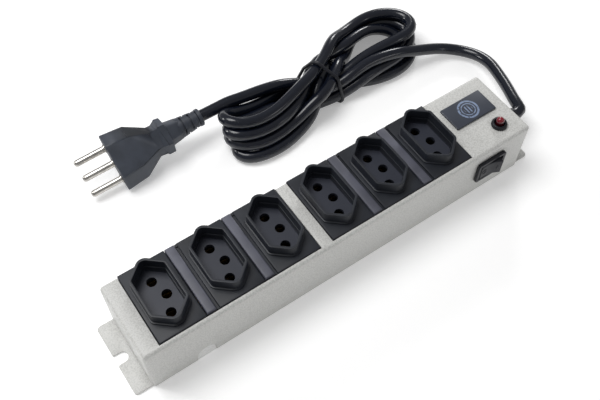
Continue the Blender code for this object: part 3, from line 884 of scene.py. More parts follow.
# ---- sub-assemblies -----------------------------------------------------------------
@dataclass
class Housing:
    """Folded steel channel with its windows, holes and slotted ears."""

    maker: Maker
    bend: float = 1.8
    bend_segments: int = 6
    lip: float = 2.2
    rear_step: float = 5.0
    ear_reach: float = 9.4
    ear_inset: float = 1.0
    slot_width: float = 5.8
    slot_depth: float = 6.8
    notch_x: float = -88.6
    notch_half: float = 5.3
    notch_spring: float = 3.0
    notch_rise: float = 6.2
    blank_play: float = 0.12
    blank_thickness: float = 0.9
    blank_depth: float = 1.1
    switch_half: tuple[float, float] = (8.7, 6.8)
    lamp_hole: tuple[float, float] = (3.9, 6.0)
    cord_hole: tuple[float, float] = (5.1, 7.5)
    ring_sides: int = 32
    edge_round: float = 0.22

    def build(self) -> None:
        """Makes the housing and dresses the cover, its brackets and its screws."""
        shell = Solid.box((-END, -SIDE, 0.0), (END, SIDE, HEIGHT))
        shell.drop_faces((-END, -SIDE, -1.0), (END, SIDE, 0.1))
        folds = shell.edges_on(Axis.Z, HEIGHT) + shell.edges_along(Axis.Z)
        shell.bevel(folds, self.bend, self.bend_segments)
        self._cut_windows(shell)
        self._cut_switch(shell)
        top = Matrix.Translation((LAMP_X, LAMP_Y, HEIGHT))
        self._round_hole(shell, top, self.lamp_hole, (Axis.X, Axis.Y), Axis.Z)
        wall = Matrix.Translation((END, CORD_EXIT_Y, CORD_EXIT_Z)) @ Matrix.Rotation(math.pi / 2, 4, "Y")
        self._round_hole(shell, wall, self.cord_hole, (Axis.Y, Axis.Z), Axis.X)
        self._cut_notch(shell)
        bmesh.ops.remove_doubles(shell.bm, verts=shell.bm.verts, dist=NEAR)
        self._face_out(shell)
        bmesh.ops.solidify(shell.bm, geom=shell.bm.faces[:], thickness=SHEET)
        shell.face_outwards()
        rims = [edge for edge in shell.sharp_edges(60.0) if edge.calc_length() > 0.05]
        shell.bevel(rims, self.edge_round, 2)
        for side in (-1, 1):
            shell.absorb(self._ear(side))
        self.maker.finish(shell, "housing_shell", "textured_paint", "housing")
        self.maker.finish(self._knock_out(), "knock_out", "cover_paint")
        self.maker.dress(
            "base_cover", "cover_bracket_left", "cover_bracket_right", "cover_screw_1", "cover_screw_2",
            "cover_screw_3", "cover_screw_4",
        )

    def _cut_windows(self, shell: Solid) -> None:
        """Opens the two windows that the sockets stand in."""
        shell.slice(Axis.Y, -SIDE + self.lip)
        shell.slice(Axis.Z, HEIGHT - self.rear_step)
        for start in WINDOW_STARTS:
            stop = start + WINDOW_LENGTH
            shell.slice(Axis.X, start)
            shell.slice(Axis.X, stop)
            low = (start, -SIDE + self.lip, HEIGHT - self.rear_step)
            shell.drop_faces(low, (stop, SIDE + 1, HEIGHT + 1))

    def _cut_switch(self, shell: Solid) -> None:
        """Opens the front wall for the switch."""
        half_x, half_z = self.switch_half
        for value in (SWITCH_X - half_x, SWITCH_X + half_x):
            shell.slice(Axis.X, value)
        for value in (SWITCH_Z - half_z, SWITCH_Z + half_z):
            shell.slice(Axis.Z, value)
        low = (SWITCH_X - half_x, -SIDE - 1, SWITCH_Z - half_z)
        shell.drop_faces(low, (SWITCH_X + half_x, -SIDE + 1, SWITCH_Z + half_z))

    def _round_hole(
        self, shell: Solid, place: Matrix, size: tuple[float, float], across: tuple[Axis, Axis], through: Axis
    ) -> None:
        """Opens a round hole.

        Args:
            shell: the channel.
            place: the hole's middle, with its own Z along the hole.
            size: the hole's radius, and half the side of the square that is opened for it.
            across: the two axes that lie in the sheet.
            through: the axis along the hole.
        """
        radius, reach = size
        middle = place.translation
        low, high = list(middle), list(middle)
        for axis in across:
            low[axis.value] -= reach
            high[axis.value] += reach
            shell.slice(axis, low[axis.value])
            shell.slice(axis, high[axis.value])
        low[through.value] -= 0.5
        high[through.value] += 0.5
        rim = shell.drop_faces(tuple(low), tuple(high))
        ring = shell.circle(radius, self.ring_sides, place)
        shell.fill(rim + ring)

    def _cut_notch(self, shell: Solid) -> None:
        """Opens the round-topped notch in the front wall's lower edge."""
        reach, top = self.notch_half + 2.0, self.notch_spring + self.notch_rise + 2.0
        left, right = self.notch_x - reach, self.notch_x + reach
        shell.slice(Axis.X, left)
        shell.slice(Axis.X, right)
        shell.slice(Axis.Z, top)
        shell.drop_faces((left, -SIDE - 0.5, -0.5), (right, -SIDE + 0.5, top))
        near = [
            edge for edge in shell.bm.edges
            if len(edge.link_faces) == 1
            and all(
                left - 0.01 < vert.co.x < right + 0.01 and vert.co.y < -SIDE + 0.1
                and vert.co.z < top + 0.01 for vert in edge.verts
            )
        ]
        outline = arch(self.notch_half, self.notch_spring, self.notch_rise)
        verts = [shell.bm.verts.new((self.notch_x + x, -SIDE, z)) for x, z in outline]
        edges = [shell.bm.edges.new(pair) for pair in zip(verts, verts[1:])]
        for foot, place in ((verts[0], right), (verts[-1], left)):
            corner = next(
                vert for edge in near for vert in edge.verts
                if abs(vert.co.z) < NEAR and abs(vert.co.x - place) < NEAR
            )
            edges.append(shell.bm.edges.new((foot, corner)))
        shell.fill(near + edges)

    def _knock_out(self) -> Solid:
        """Punched blank that still fills the notch, a little below the wall's face.

        Returns:
            The blank.
        """
        half, rise = self.notch_half - self.blank_play, self.notch_rise - self.blank_play
        outline = arch(half, self.notch_spring, rise)
        blank = Solid.plate(outline, [0.0] * len(outline), 0.0).thicken(0.0, self.blank_thickness)
        blank.bevel(blank.sharp_edges(60.0), 0.12, 2)
        back = Matrix.Translation((self.notch_x, -SIDE + self.blank_depth, 0))
        return blank.move(back @ Matrix.Rotation(math.pi / 2, 4, "X"))

    @staticmethod
    def _face_out(shell: Solid) -> None:
        """Turns the open channel's faces outwards, judged by its top."""
        shell.face_outwards()
        top = max(shell.bm.faces, key=lambda face: face.calc_center_median().z)
        if top.normal.z < 0:
            bmesh.ops.reverse_faces(shell.bm, faces=shell.bm.faces)

    def _ear(self, side: int) -> Solid:
        """One slotted ear.

        Args:
            side: -1 for the left end and 1 for the right.

        Returns:
            The ear as a closed plate.
        """
        inner, outer = END - SHEET, END + self.ear_reach
        half, slot = SIDE - self.ear_inset, self.slot_width / 2
        root = outer - self.slot_depth
        outline = [
            (inner, -half), (outer, -half), (outer, -slot), (root, -slot),
            (root, slot), (outer, slot), (outer, half), (inner, half),
        ]
        radii = [0.0, 2.0, 0.9, slot - 0.01, slot - 0.01, 0.9, 2.0, 0.0]
        ear = Solid.plate([(side * x, side * y) for x, y in outline], radii, 0.0, 8).thicken(0.0, SHEET)
        ear.bevel(ear.sharp_edges(60.0), self.edge_round, 2)
        return ear


@dataclass
class Sockets:
    """Six face plates with their collars and recesses, and the filler strips between them."""

    maker: Maker
    half_width: float = 10.2
    half_length: float = 20.6
    shoulder: float = 11.0
    plinth: float = 0.8
    plinth_rise: float = 0.8
    wall: float = 1.3
    rise: float = 7.2
    ledge_rise: float = 4.2
    ledge_width: float = 0.5
    hole: float = 2.6
    shade_flange_width: float = 1.2
    # width of the dark flange put as painted shade beside each filler strip
    strip_width: float = 5.2
    strip_proud: float = 1.1
    side_cut: float = 1.5
    point_cut: float = 4.4

    def build(self) -> None:
        """Makes every face plate and filler strip, and dresses what lies behind them."""
        first_of_three, last_of_three = SOCKET_XS[::3], SOCKET_XS[2::3]
        for number, x in enumerate(SOCKET_XS, start=1):
            plate = self._face(x, x not in first_of_three)
            name = f"socket_plate_{number}"
            self.maker.finish(plate, name, "socket_plastic", f"socket_face_{number}", smooth=32.0)
            self.maker.dress(f"contact_carrier_{number}")
        step = PLATE_WIDTH / 2 + GAP + self.strip_width / 2
        gaps = [x + step for x in SOCKET_XS if x not in last_of_three]
        for number, x in enumerate(gaps, start=1):
            name = f"filler_cover_{number}"
            self.maker.finish(self._filler(x), name, "filler_plastic", f"filler_strip_{number}")
        self.maker.dress("bus_bar_live", "bus_bar_earth", "bus_bar_neutral")

    def _plinth_face(self, x: float, z: float) -> Solid:
        """The rounded six-sided outline of a collar's plinth.

        Args:
            x: the socket's middle along the strip.
            z: the height of the outline.

        Returns:
            One flat face.
        """
        width, shoulder = self.half_width + self.plinth, self.shoulder + self.plinth * 0.3
        outline = [
            (width, -shoulder), (width, shoulder), (0, self.half_length),
            (-width, shoulder), (-width, -shoulder), (0, -self.half_length),
        ]
        corners = [(x + px, SOCKET_Y + py) for px, py in outline]
        return Solid.plate(corners, [self.side_cut, self.side_cut, self.point_cut] * 2, z, 7)

    def _collar(self, x: float) -> Solid:
        """Plinth, collar and recess down to a floor with its pin holes.

        Args:
            x: the socket's middle along the strip.

        Returns:
            The collar, open below.
        """
        collar = self._plinth_face(x, PLATE_TOP)
        face = collar.bm.faces[:][0]
        if face.normal.z < 0:
            face.normal_flip()
        top = collar.raise_face(face, (0, 0, self.plinth_rise))
        collar.inset(top, self.plinth)
        top = collar.raise_face(top, (0, 0, HEIGHT + self.rise - PLATE_TOP - self.plinth_rise))
        collar.inset(top, self.wall)
        ledge = collar.raise_face(top, (0, 0, FLOOR_TOP + self.ledge_rise - HEIGHT - self.rise))
        collar.inset(ledge, self.ledge_width)
        floor = collar.raise_face(ledge, (0, 0, -self.ledge_rise))
        bmesh.ops.delete(collar.bm, geom=[floor], context="FACES_ONLY")
        border = collar.open_edges(Axis.Z, FLOOR_TOP)
        rings = []
        for dx, dy in PIN_PLACES:
            rings += collar.circle(self.hole, 28, Matrix.Translation((x + dx, SOCKET_Y + dy, FLOOR_TOP)))
        collar.fill(border + rings)
        collar.pull_edges(rings, (0, 0, FLOOR_BOTTOM - FLOOR_TOP))
        return collar

    def _face(self, x: float, with_shade_flange: bool) -> Solid:
        """One face plate with its collar.

        Args:
            x: the socket's middle along the strip.
            with_shade_flange: adds the low flange that meets the filler strip on its left, and a rear wall
                behind it; both are dark plastic put as painted shade in the gap.

        Returns:
            The plate.
        """
        half = PLATE_WIDTH / 2
        plate = Solid.box((x - half, PLATE_FRONT, PLATE_BOTTOM), (x + half, SIDE, PLATE_TOP))
        for level in (PLATE_TOP, PLATE_BOTTOM):
            plate.drop_faces((x - half, PLATE_FRONT, level - 0.1), (x + half, SIDE, level + 0.1))
        under = self._plinth_face(x, PLATE_BOTTOM)
        bmesh.ops.delete(under.bm, geom=under.bm.faces[:], context="FACES_ONLY")
        under.pull_edges(under.bm.edges[:], (0, 0, FLOOR_BOTTOM - PLATE_BOTTOM))
        plate.absorb(self._collar(x), under)
        for level in (PLATE_TOP, PLATE_BOTTOM, FLOOR_BOTTOM):
            plate.fill(plate.open_edges(Axis.Z, level))
        bmesh.ops.remove_doubles(plate.bm, verts=plate.bm.verts, dist=NEAR)
        plate.face_outwards()
        plate.bevel(plate.edges_on(Axis.Z, HEIGHT + self.rise), 0.42, 3)
        plate.bevel(plate.edges_on(Axis.Z, PLATE_TOP + self.plinth_rise), 0.25, 2)
        outer = [
            edge for edge in plate.edges_on(Axis.Z, PLATE_TOP)
            if len(edge.link_faces) == 2 and edge.calc_face_angle() > 1.0
            and (abs(abs(edge.verts[0].co.x - x) - half) < 0.01 or edge.verts[0].co.y in (PLATE_FRONT, SIDE))
        ]
        plate.bevel(outer, 0.5, 3)
        apron = Solid.box((x - half, SIDE - 2.0, FLOOR_BOTTOM), (x + half, SIDE, PLATE_BOTTOM + 0.6))
        apron.bevel(apron.edges_on(Axis.Z, FLOOR_BOTTOM), 0.3, 2)
        plate.absorb(apron)
        # painted shade: dark plastic that closes the gap beside the filler strip, where there is only shade
        if with_shade_flange:
            near, rear = x - half - self.shade_flange_width, SIDE - 0.2
            plate.absorb(
                Solid.box((near, PLATE_FRONT + 0.4, PLATE_BOTTOM), (x - half, rear, PLATE_BOTTOM + 1.3)),
                Solid.box((near, SIDE - 1.8, FLOOR_BOTTOM), (x - half, rear, PLATE_TOP - 0.4)),
            )
        return plate

    def _filler(self, x: float) -> Solid:
        """One filler strip.

        Args:
            x: its middle along the strip.

        Returns:
            The strip.
        """
        half, top = self.strip_width / 2, HEIGHT + self.strip_proud
        strip = Solid.box((x - half, PLATE_FRONT + 0.5, PLATE_BOTTOM + 0.6), (x + half, SIDE - 0.3, top))
        strip.bevel(strip.edges_on(Axis.Z, top), 0.7, 4)
        web = Solid.box((x - 0.9, PLATE_FRONT + 1.5, 26.0), (x + 0.9, 19.0, PLATE_BOTTOM + 1.2))
        apron = Solid.box((x - half, SIDE - 2.0, FLOOR_BOTTOM), (x + half, SIDE - 0.3, PLATE_BOTTOM + 1.2))
        apron.bevel(apron.edges_along(Axis.Z), 0.25, 2)
        return strip.absorb(web, apron)


@dataclass
class EndCompartment:
    """Switch, lamp, badge and the parts inside the right end."""

    maker: Maker
    bezel: tuple[float, float] = (19.2, 15.2)
    body: tuple[float, float] = (16.8, 13.0)
    depth: float = 14.0
    bezel_proud: float = 1.8
    rocker_length: float = 6.6
    rocker_width: float = 5.3
    crest: float = 3.2
    slope: float = math.radians(13.0)
    tilt: float = math.radians(12.0)
    badge_x: tuple[float, float] = (84.0, 111.4)
    badge_y: tuple[float, float] = (-2.2, 13.1)
    mark_place: float = 4.0
    lens_radius: float = 2.3
    lens_centre: float = HEIGHT + 3.6
    dome_steps: int = 10

    def build(self) -> None:
        """Makes the visible pieces and dresses the hidden ones."""
        self._switch()
        self._rocker()
        self._lamp()
        self._badge()
        self.maker.dress(
            "switch_terminal_1", "switch_terminal_2", "earth_stud", "earth_nut",
            "lead_live_in", "lead_live_out", "lead_neutral", "lead_earth",
        )

    def _switch(self) -> None:
        """Frame of the switch with its bezel and well."""
        front = -SIDE - GAP
        half_x, half_z = self.bezel[0] / 2, self.bezel[1] / 2
        frame = Solid.box(
            (SWITCH_X - half_x, front - self.bezel_proud, SWITCH_Z - half_z),
            (SWITCH_X + half_x, front, SWITCH_Z + half_z),
        )
        frame.bevel(frame.edges_along(Axis.Y), 1.6, 5)
        face = min(frame.bm.faces, key=lambda item: item.calc_center_median().y)
        rim = (self.bezel[0] - self.body[0]) / 2 + 0.55
        frame.inset(face, rim)
        frame.raise_face(face, (0, self.depth - 2.0, 0))
        frame.face_outwards()
        frame.bevel(frame.edges_on(Axis.Y, front - self.bezel_proud), 0.55, 4)
        body = Solid.box(
            (SWITCH_X - self.body[0] / 2, front - 0.5, SWITCH_Z - self.body[1] / 2),
            (SWITCH_X + self.body[0] / 2, -SIDE + self.depth, SWITCH_Z + self.body[1] / 2),
        )
        body.drop_faces((0, front - 0.6, 0), (200, front - 0.4, 50))
        body.bevel(body.edges_on(Axis.Y, -SIDE + self.depth), 0.4, 2)
        frame.absorb(body)
        self.maker.finish(frame, "switch_surround", "switch_plastic", "switch_frame")

    def _rocker(self) -> None:
        """Rocker with two wings, a raised bar on one and a raised ring on the other."""
        length, crest = self.rocker_length, self.crest
        tip = crest + length * math.tan(self.slope)
        outline = [
            (0, -crest), (length, -tip), (length - 0.3, 0.5), (3.9, 3.4),
            (-3.9, 3.4), (0.3 - length, 0.5), (-length, -tip),
        ]
        rocker = Solid.plate(outline, [3.0, 0.0, 0.0, 0.8, 0.8, 0.0, 0.0], -self.rocker_width, 6)
        rocker.thicken(-self.rocker_width, 2 * self.rocker_width)
        rocker.bevel(rocker.sharp_edges(40.0), 0.5, 4)
        bar = Solid.box((-0.3, -0.25, -1.6), (0.3, 0.25, 1.6))
        bar.bevel(bar.bm.edges[:], 0.12, 2)
        bar.move(self._on_wing(1))
        ring = Solid.turned([(1.25, -0.2), (1.7, -0.2), (1.7, 0.2), (1.25, 0.2)], 28, True)
        ring.move(self._on_wing(-1) @ Matrix.Rotation(math.pi / 2, 4, "X"))
        pivot = Solid.turned([(0, -6.25), (1.1, -6.25), (1.1, 6.25), (0, 6.25)], 20)
        rocker.absorb(bar, ring, pivot)
        pivot_place = Matrix.Translation((SWITCH_X, -SIDE + 1.0, SWITCH_Z))
        rocker.move(pivot_place @ Matrix.Rotation(-self.tilt, 4, "Z"))
        self.maker.finish(rocker, "rocker_paddle", "switch_plastic", "switch_rocker", body=Body.ROCKER)

    def _on_wing(self, side: int) -> Matrix:
        """Where a mark sits on one of the rocker's wings, 1 for the right one and -1 for the left."""
        drop = self.crest + self.mark_place * math.tan(self.slope)
        place = Matrix.Translation((side * self.mark_place, -drop, 0))
        return place @ Matrix.Rotation(-side * self.slope, 4, "Z")

    def _lamp(self) -> None:
        """Lamp ring and its domed lens."""
        place = Matrix.Translation((LAMP_X, LAMP_Y, 0))
        base, top = HEIGHT + GAP, HEIGHT + 2.2
        ring = [
            (2.65, 30.0), (2.65, top - 1.0), (2.8, top - 0.35), (3.15, top), (3.6, top), (4.0, top - 0.2),
            (4.35, base + 0.9), (4.4, base + 0.5), (4.4, base), (3.6, base),
            (3.6, 28.6), (1.6, 28.6), (1.6, 30.0),
        ]
        holder = Solid.turned(ring, 56, True).move(place)
        self.maker.finish(holder, "lamp_ring", "switch_plastic", "lamp_holder")
        radius, centre = self.lens_radius, self.lens_centre
        profile = [(0, 30.4), (radius, 30.4), (radius, 36.0)]
        for step in range(self.dome_steps):
            turn = math.pi / 2 * step / self.dome_steps
            profile.append((radius * math.cos(turn), centre + radius * math.sin(turn)))
        profile.append((0, centre + radius))
        lens = Solid.turned(profile, 40).move(place)
        self.maker.finish(lens, "lamp_dome", "red_lens", "lamp_lens")

    def _badge(self) -> None:
        """Plain badge plate with soft edges."""
        bottom = HEIGHT + GAP
        top = bottom + 1.0
        (left, right), (front, rear) = self.badge_x, self.badge_y
        badge = Solid.box((left, front, bottom), (right, rear, top))
        badge.bevel(badge.edges_along(Axis.Z), 0.5, 3)
        badge.bevel(badge.edges_on(Axis.Z, top), 0.3, 3)
        self.maker.finish(badge, "badge_face", "badge_plastic", "badge_plate")


@dataclass
class Cord:
    """Free cord from the gland through the tied hank to the plug."""

    maker: Maker
    waist: tuple[float, float] = (54.6, 83.8)
    waist_angle: float = math.radians(31.5)
    turns: int = 4
    pitch: float = 7.05
    keep_apart: int = 7
    rounds: int = 260
    stiffness: int = 5
    free_reach: float = 130.0
    firm_hold: float = 0.12
    soft_hold: float = 0.012
    ease: float = 0.06
    push: float = 0.25
    tie_radius: float = 1.0
    ribs: int = 4
    rib_pitch: float = 2.0
    lead_route: tuple[Point, ...] = (
        (127.0, -2.2, 17.0), (131.2, -2.2, 17.0), (134.4, -1.0, 16.9), (136.6, 1.6, 16.6),
        (138.6, 5.4, 16.0), (141.0, 10.4, 15.0), (143.9, 17.0, 13.6), (146.9, 24.4, 12.0),
        (149.6, 32.2, 10.4), (151.6, 39.3, 9.0), (152.0, 46.7, 7.4), (150.6, 54.0, 5.9),
        (147.0, 60.4, 5.0), (141.6, 65.2, 5.4), (133.4, 68.8, 7.5), (119.6, 71.7, 11.5),
        (107.0, 74.2, 14.6), (90.0, 76.4, 16.4),
    )
    plug_route: tuple[Point, ...] = (
        (-22.3, 97.9, 17.0), (-18.0, 97.8, 17.3), (-8.0, 97.2, 17.6), (6.0, 96.0, 17.6), (22.0, 94.4, 16.8),
        (38.0, 91.6, 14.0),
    )

    def build(self) -> None:
        """Makes the cord, its tie and the gland."""
        points = self._laid(curve_through(self._stations(), 3.0))
        cord = lead("cord", points, CORD_RADIUS, self.maker.palette["cord_sheath"])
        self.maker.place(cord, "cord_sheath", "cord_to_housing", "cord_to_plug", "cord_hank")
        tie = self._tie(points)
        gland = self._gland()
        plug = Plug(self.maker).build()

    def _waist_slot(self, across: float, height: float) -> Point:
        """A place under the tie, across the waist and above the floor."""
        x = self.waist[0] - across * math.sin(self.waist_angle)
        y = self.waist[1] + across * math.cos(self.waist_angle)
        return (x, y, height)

    def _stations(self) -> list[Vector]:
        """The cord's stations from the gland, in through the tie and round the hank to the plug.

        Returns:
            The stations in millimetres.
        """
        near_right = [
            [(90, 71.5, 3.5), (112, 73, 3.5)], [(90, 74.5, 9.4), (112, 76, 9.4)],
            [(90, 81.2, 7.8), (111, 82.7, 7.8)], [(90, 83.6, 15.0), (112, 82.0, 18.0)],
        ]
        right_end = [
            [(123, 79.6, 3.5), (126, 89, 3.5), (121.4, 99.4, 3.5)],
            [(123.4, 81.6, 10.4), (126.4, 91, 10.4), (121, 100.4, 10.0)],
            [(118.0, 86.6, 7.4), (119.4, 92.0, 7.2), (115.4, 97.4, 9.0)],
            [(122.6, 84.6, 18.4), (126.4, 91, 17.3), (121.8, 101.0, 16.6)],
        ]
        far_right = [
            [(104, 111, 3.5), (84, 101.5, 3.5)], [(104, 107.6, 9.4), (84, 99, 10.0)],
            [(104, 101.6, 13.4), (84, 96.6, 16.4)], [(104, 108.6, 16.2), (84, 102.6, 16.8)],
        ]
        far_left = [
            [(8, 81.4, 3.6), (30, 82.4, 3.6)], [(8, 88.4, 3.6), (30, 89.4, 3.6)],
            [(8, 84.4, 10.6), (30, 83.6, 10.6)], [(8, 91.0, 10.8), (30, 90.6, 10.8)],
        ]
        left_end = [
            [(-6, 67.0, 3.5), (-11.8, 74, 3.5), (-6, 80.6, 3.5)],
            [(-6.5, 70.4, 9.2), (-12, 78.0, 9.2), (-6, 85.6, 8.0)],
            [(-7, 74.4, 14.9), (-12, 81.4, 14.9), (-6, 87.6, 13.6)],
            [(-7.5, 78.0, 20.6), (-12, 84.6, 20.2), (-6, 90.8, 17.4)],
        ]
        near_left = [
            [(36, 69.8 + 3.2 * layer, 5.5 + 5.6 * layer), (13, 62.6 + 3.8 * layer, 3.5 + 5.7 * layer)]
            for layer in range(self.turns)
        ]
        low_waist = [(-3.6, 9.8), (0.0, 3.7), (-7.1, 3.7), (7.1, 3.7)]
        high_waist = [(0.0, 15.9), (-7.0, 15.0), (7.0, 15.0), (2.8, 22.2)]
        route: list[Point] = list(self.plug_route)
        route.append(self._waist_slot(3.6, 9.8))
        route.append((67.0, 83.0, 10.6))
        for layer in reversed(range(self.turns)):
            route += near_right[layer] + right_end[layer] + far_right[layer]
            route.append(self._waist_slot(*high_waist[layer]))
            route += near_left[layer] + left_end[layer] + far_left[layer]
            route.append(self._waist_slot(*low_waist[layer]))
        route += reversed(self.lead_route)
        return [Vector(point) for point in reversed(route)]

    def _laid(self, points: list[Vector]) -> list[Vector]:
        """Lets the stretches lie beside and on each other, a diameter apart, with no kink.

        Args:
            points: the drawn centre line.

        Returns:
            The settled centre line.
        """
        line = np.array([tuple(point) for point in points])
        drawn = line.copy()
        count = len(line)
        step = float(np.linalg.norm(np.diff(line, axis=0), axis=1).mean())
        apart = np.abs(np.subtract.outer(np.arange(count), np.arange(count))) > self.keep_apart
        place = np.arange(count) * step
        free = np.minimum(place, place[-1] - place)
        hold = np.where(free < self.free_reach, self.firm_hold, self.soft_hold)[:, None]
        for _ in range(self.rounds):
            for _ in range(self.stiffness):
                second = line[:-2] - 2 * line[1:-1] + line[2:]
                line[2:-2] -= self.ease * (second[:-2] - 2 * second[1:-1] + second[2:])
            for start in (0, 1):
                near, far = line[start:-1:2], line[start + 1::2]
                pairs = min(len(near), len(far))
                run = far[:pairs] - near[:pairs]
                long = np.linalg.norm(run, axis=1, keepdims=True)
                fix = run * (1 - step / long) / 2
                near[:pairs] += fix
                far[:pairs] -= fix
            gap = line[:, None, :] - line[None, :, :]
            reach = np.linalg.norm(gap, axis=2)
            close = apart & (reach < self.pitch)
            short = np.where(close, (self.pitch - reach) / np.maximum(reach, 0.05), 0.0)
            line += self.push * (gap * short[:, :, None]).sum(axis=1)
            line += hold * (drawn - line)
            line[:, 2] = np.maximum(line[:, 2], CORD_RADIUS + 0.1)
            line[:3], line[-3:] = drawn[:3], drawn[-3:]
        return [Vector(point) for point in line]

    def _tie(self, points: list[Vector]) -> bpy.types.Object:
        """Thin tie drawn tight round the strands at the waist.

        Args:
            points: the cord's settled centre line.

        Returns:
            The piece.
        """
        place = Matrix.Translation((*self.waist, 0)) @ Matrix.Rotation(self.waist_angle, 4, "Z")
        there = place.inverted()
        local = [there @ point for point in points]
        cut = []
        for near, far in zip(local, local[1:]):
            if near.x * far.x <= 0 and abs(near.x - far.x) > 1e-6 and abs(near.y) < 20:
                cut.append(near.lerp(far, near.x / (near.x - far.x)))
        reach = CORD_RADIUS + self.tie_radius + 0.1
        loop = []
        steps = 48
        for step in range(steps + 1):
            turn = math.tau * step / steps
            out = Vector((0.0, math.cos(turn), math.sin(turn)))
            spot = max(cut, key=lambda point: point.dot(out))
            corner = Vector((0.0, spot.y, spot.z)) + out * reach
            if not loop or (corner - loop[-1]).length > 0.3:
                loop.append(corner)
        for corner in loop:
            corner.z = max(corner.z, self.tie_radius + 0.05)
        LOG.info("tie goes round %d strands", len(cut))
        line = [place @ point for point in loop]
        tie = lead("tie", line, self.tie_radius, self.maker.palette["switch_plastic"])
        return self.maker.place(tie, "switch_plastic", "cord_tie")

    def _gland(self) -> bpy.types.Object:
        """Tapered strain relief through the right wall.

        Returns:
            The piece.
        """
        inner, outer = END - SHEET - GAP, END + GAP
        profile = [
            (0, END - 6.0), (4.6, END - 6.0), (6.2, inner - 1.8), (6.2, inner), (4.7, inner), (4.7, outer),
            (5.9, outer), (6.2, END + 0.7), (6.1, END + 2.0), (5.7, END + 2.6), (5.2, END + 2.8),
            (5.0, END + 3.4),
        ]
        for rib in range(self.ribs):
            start = END + 3.6 + rib * self.rib_pitch
            radius = 4.95 - 0.19 * rib
            groove = radius - 0.35
            profile += [(radius, start), (radius, start + 1.1), (groove, start + 1.35), (groove, start + 1.8)]
        profile += [(4.0, END + 11.7), (3.8, END + 12.0), (0, END + 12.0)]
        place = Matrix.Translation((0, CORD_EXIT_Y, CORD_EXIT_Z)) @ Matrix.Rotation(math.pi / 2, 4, "Y")
        gland = Solid.turned(profile, 40).move(place)
        return self.maker.finish(gland, "gland", "switch_plastic", "cord_gland")


@dataclass
class Plug:
    """Moulded three-pin plug."""

    maker: Maker
    face: Point = (-75.7, 99.4, 12.6)
    yaw: float = math.radians(-1.6)
    pitch: float = math.radians(4.4)
    roll: float = math.radians(-35.0)
    pin_radius: float = 2.0
    pin_reach: float = 19.0
    sleeve_start: float = 41.0
    slots: int = 5
    slot_pitch: float = 2.5
    slot_depth: float = 0.8
    sections: tuple[tuple[float, float, float, float], ...] = (
        (0.0, 17.5, 8.0, 10.0), (13.7, 16.2, 8.0, 9.0), (25.0, 9.5, 7.0, 5.4), (28.6, 9.2, 6.8, 5.2),
        (30.5, 11.0, 8.4, 6.0), (34.0, 10.9, 8.4, 6.0), (34.8, 7.5, 6.4, 4.4), (42.0, 6.5, 5.7, 3.6),
    )

    def build(self) -> list[bpy.types.Object]:
        """Makes the body and its pins.

        Returns:
            The pieces.
        """
        turn = Matrix.Rotation(self.yaw, 4, "Z") @ Matrix.Rotation(-self.pitch, 4, "Y")
        place = Matrix.Translation(self.face) @ turn @ Matrix.Rotation(-self.roll, 4, "X")
        body = self._body().absorb(self._strain_relief().tidy()).move(place)
        pieces = [self.maker.finish(body, "plug_moulding", "plug_rubber", "plug_body", smooth=30.0)]
        lie = Matrix.Rotation(-math.pi / 2, 4, "Y")
        radius, tip = self.pin_radius, self.pin_reach
        profile = [
            (0, GAP), (2.6, GAP), (2.6, 0.7), (radius, 0.9), (radius, tip - 1.6), (1.85, tip - 1.0),
            (1.5, tip - 0.4), (1.0, tip), (0, tip),
        ]
        for word, (along, across) in zip(("live", "earth", "neutral"), PIN_PLACES):
            pin = Solid.turned(profile, 32).move(place @ Matrix.Translation((0, across, along)) @ lie)
            pieces.append(self.maker.finish(pin, f"pin_{word}", "nickel_plate", f"plug_pin_{word}"))
        return pieces

    def _body(self) -> Solid:
        """Faceted body from its face to the strain relief.

        Returns:
            The body, along +X from its face.
        """
        body = Solid()
        u, width, thick, shoulder = self.sections[0]
        ring = [
            (width, 0), (shoulder, thick), (-shoulder, thick),
            (-width, 0), (-shoulder, -thick), (shoulder, -thick),
        ]
        face = body.bm.faces.new([body.bm.verts.new((u, v, n)) for v, n in ring])
        for last, section in zip(self.sections, self.sections[1:]):
            grown = bmesh.ops.extrude_face_region(body.bm, geom=[face])["geom"]
            verts = verts_in(grown)
            bmesh.ops.translate(body.bm, vec=(section[0] - last[0], 0, 0), verts=verts)
            for vert in verts:
                edge_point = abs(vert.co.z) < TINY
                vert.co.y *= section[1] / last[1] if edge_point else section[3] / last[3]
                vert.co.z *= section[2] / last[2]
            face = next(item for item in grown if isinstance(item, bmesh.types.BMFace))
        body.face_outwards()
        body.bevel(body.sharp_edges(14.0), 0.75, 3)
        return body

    def _strain_relief(self) -> Solid:
        """Tapered sleeve with staggered slots and a collar at its end.

        Returns:
            The sleeve, along +X.
        """
        start, pitch = self.sleeve_start, self.slot_pitch
        profile = [(0, start), (6.2, start)]
        for slot in range(self.slots):
            near = start + 1.0 + slot * pitch
            radius = 6.1 - 0.28 * slot
            profile += [(radius, near), (radius - 0.05, near + 1.3), (radius - 0.15, near + pitch - 0.12)]
        profile += [(4.9, 53.4), (5.3, 53.8), (5.3, 55.6), (4.8, 56.0), (0, 56.0)]
        sleeve = Solid.turned(profile, 24)
        grooves = []
        for slot in range(self.slots):
            near = start + 1.0 + slot * pitch + 1.3
            for face in sleeve.bm.faces:
                middle = face.calc_center_median()
                if not near < middle.z < near + pitch - 1.4:
                    continue
                angle = math.degrees(math.atan2(middle.y, middle.x)) % 180.0
                on_side = angle < 60.0 or angle > 120.0
                if on_side == (slot % 2 == 0):
                    grooves.append(face)
        for vert in verts_in(bmesh.ops.extrude_face_region(sleeve.bm, geom=grooves)["geom"]):
            vert.co.x *= self.slot_depth
            vert.co.y *= self.slot_depth
        left = [face for face in grooves if face.is_valid]
        bmesh.ops.delete(sleeve.bm, geom=left, context="FACES_ONLY")
        sleeve.face_outwards()
        return sleeve.move(Matrix.Rotation(math.pi / 2, 4, "Y"))


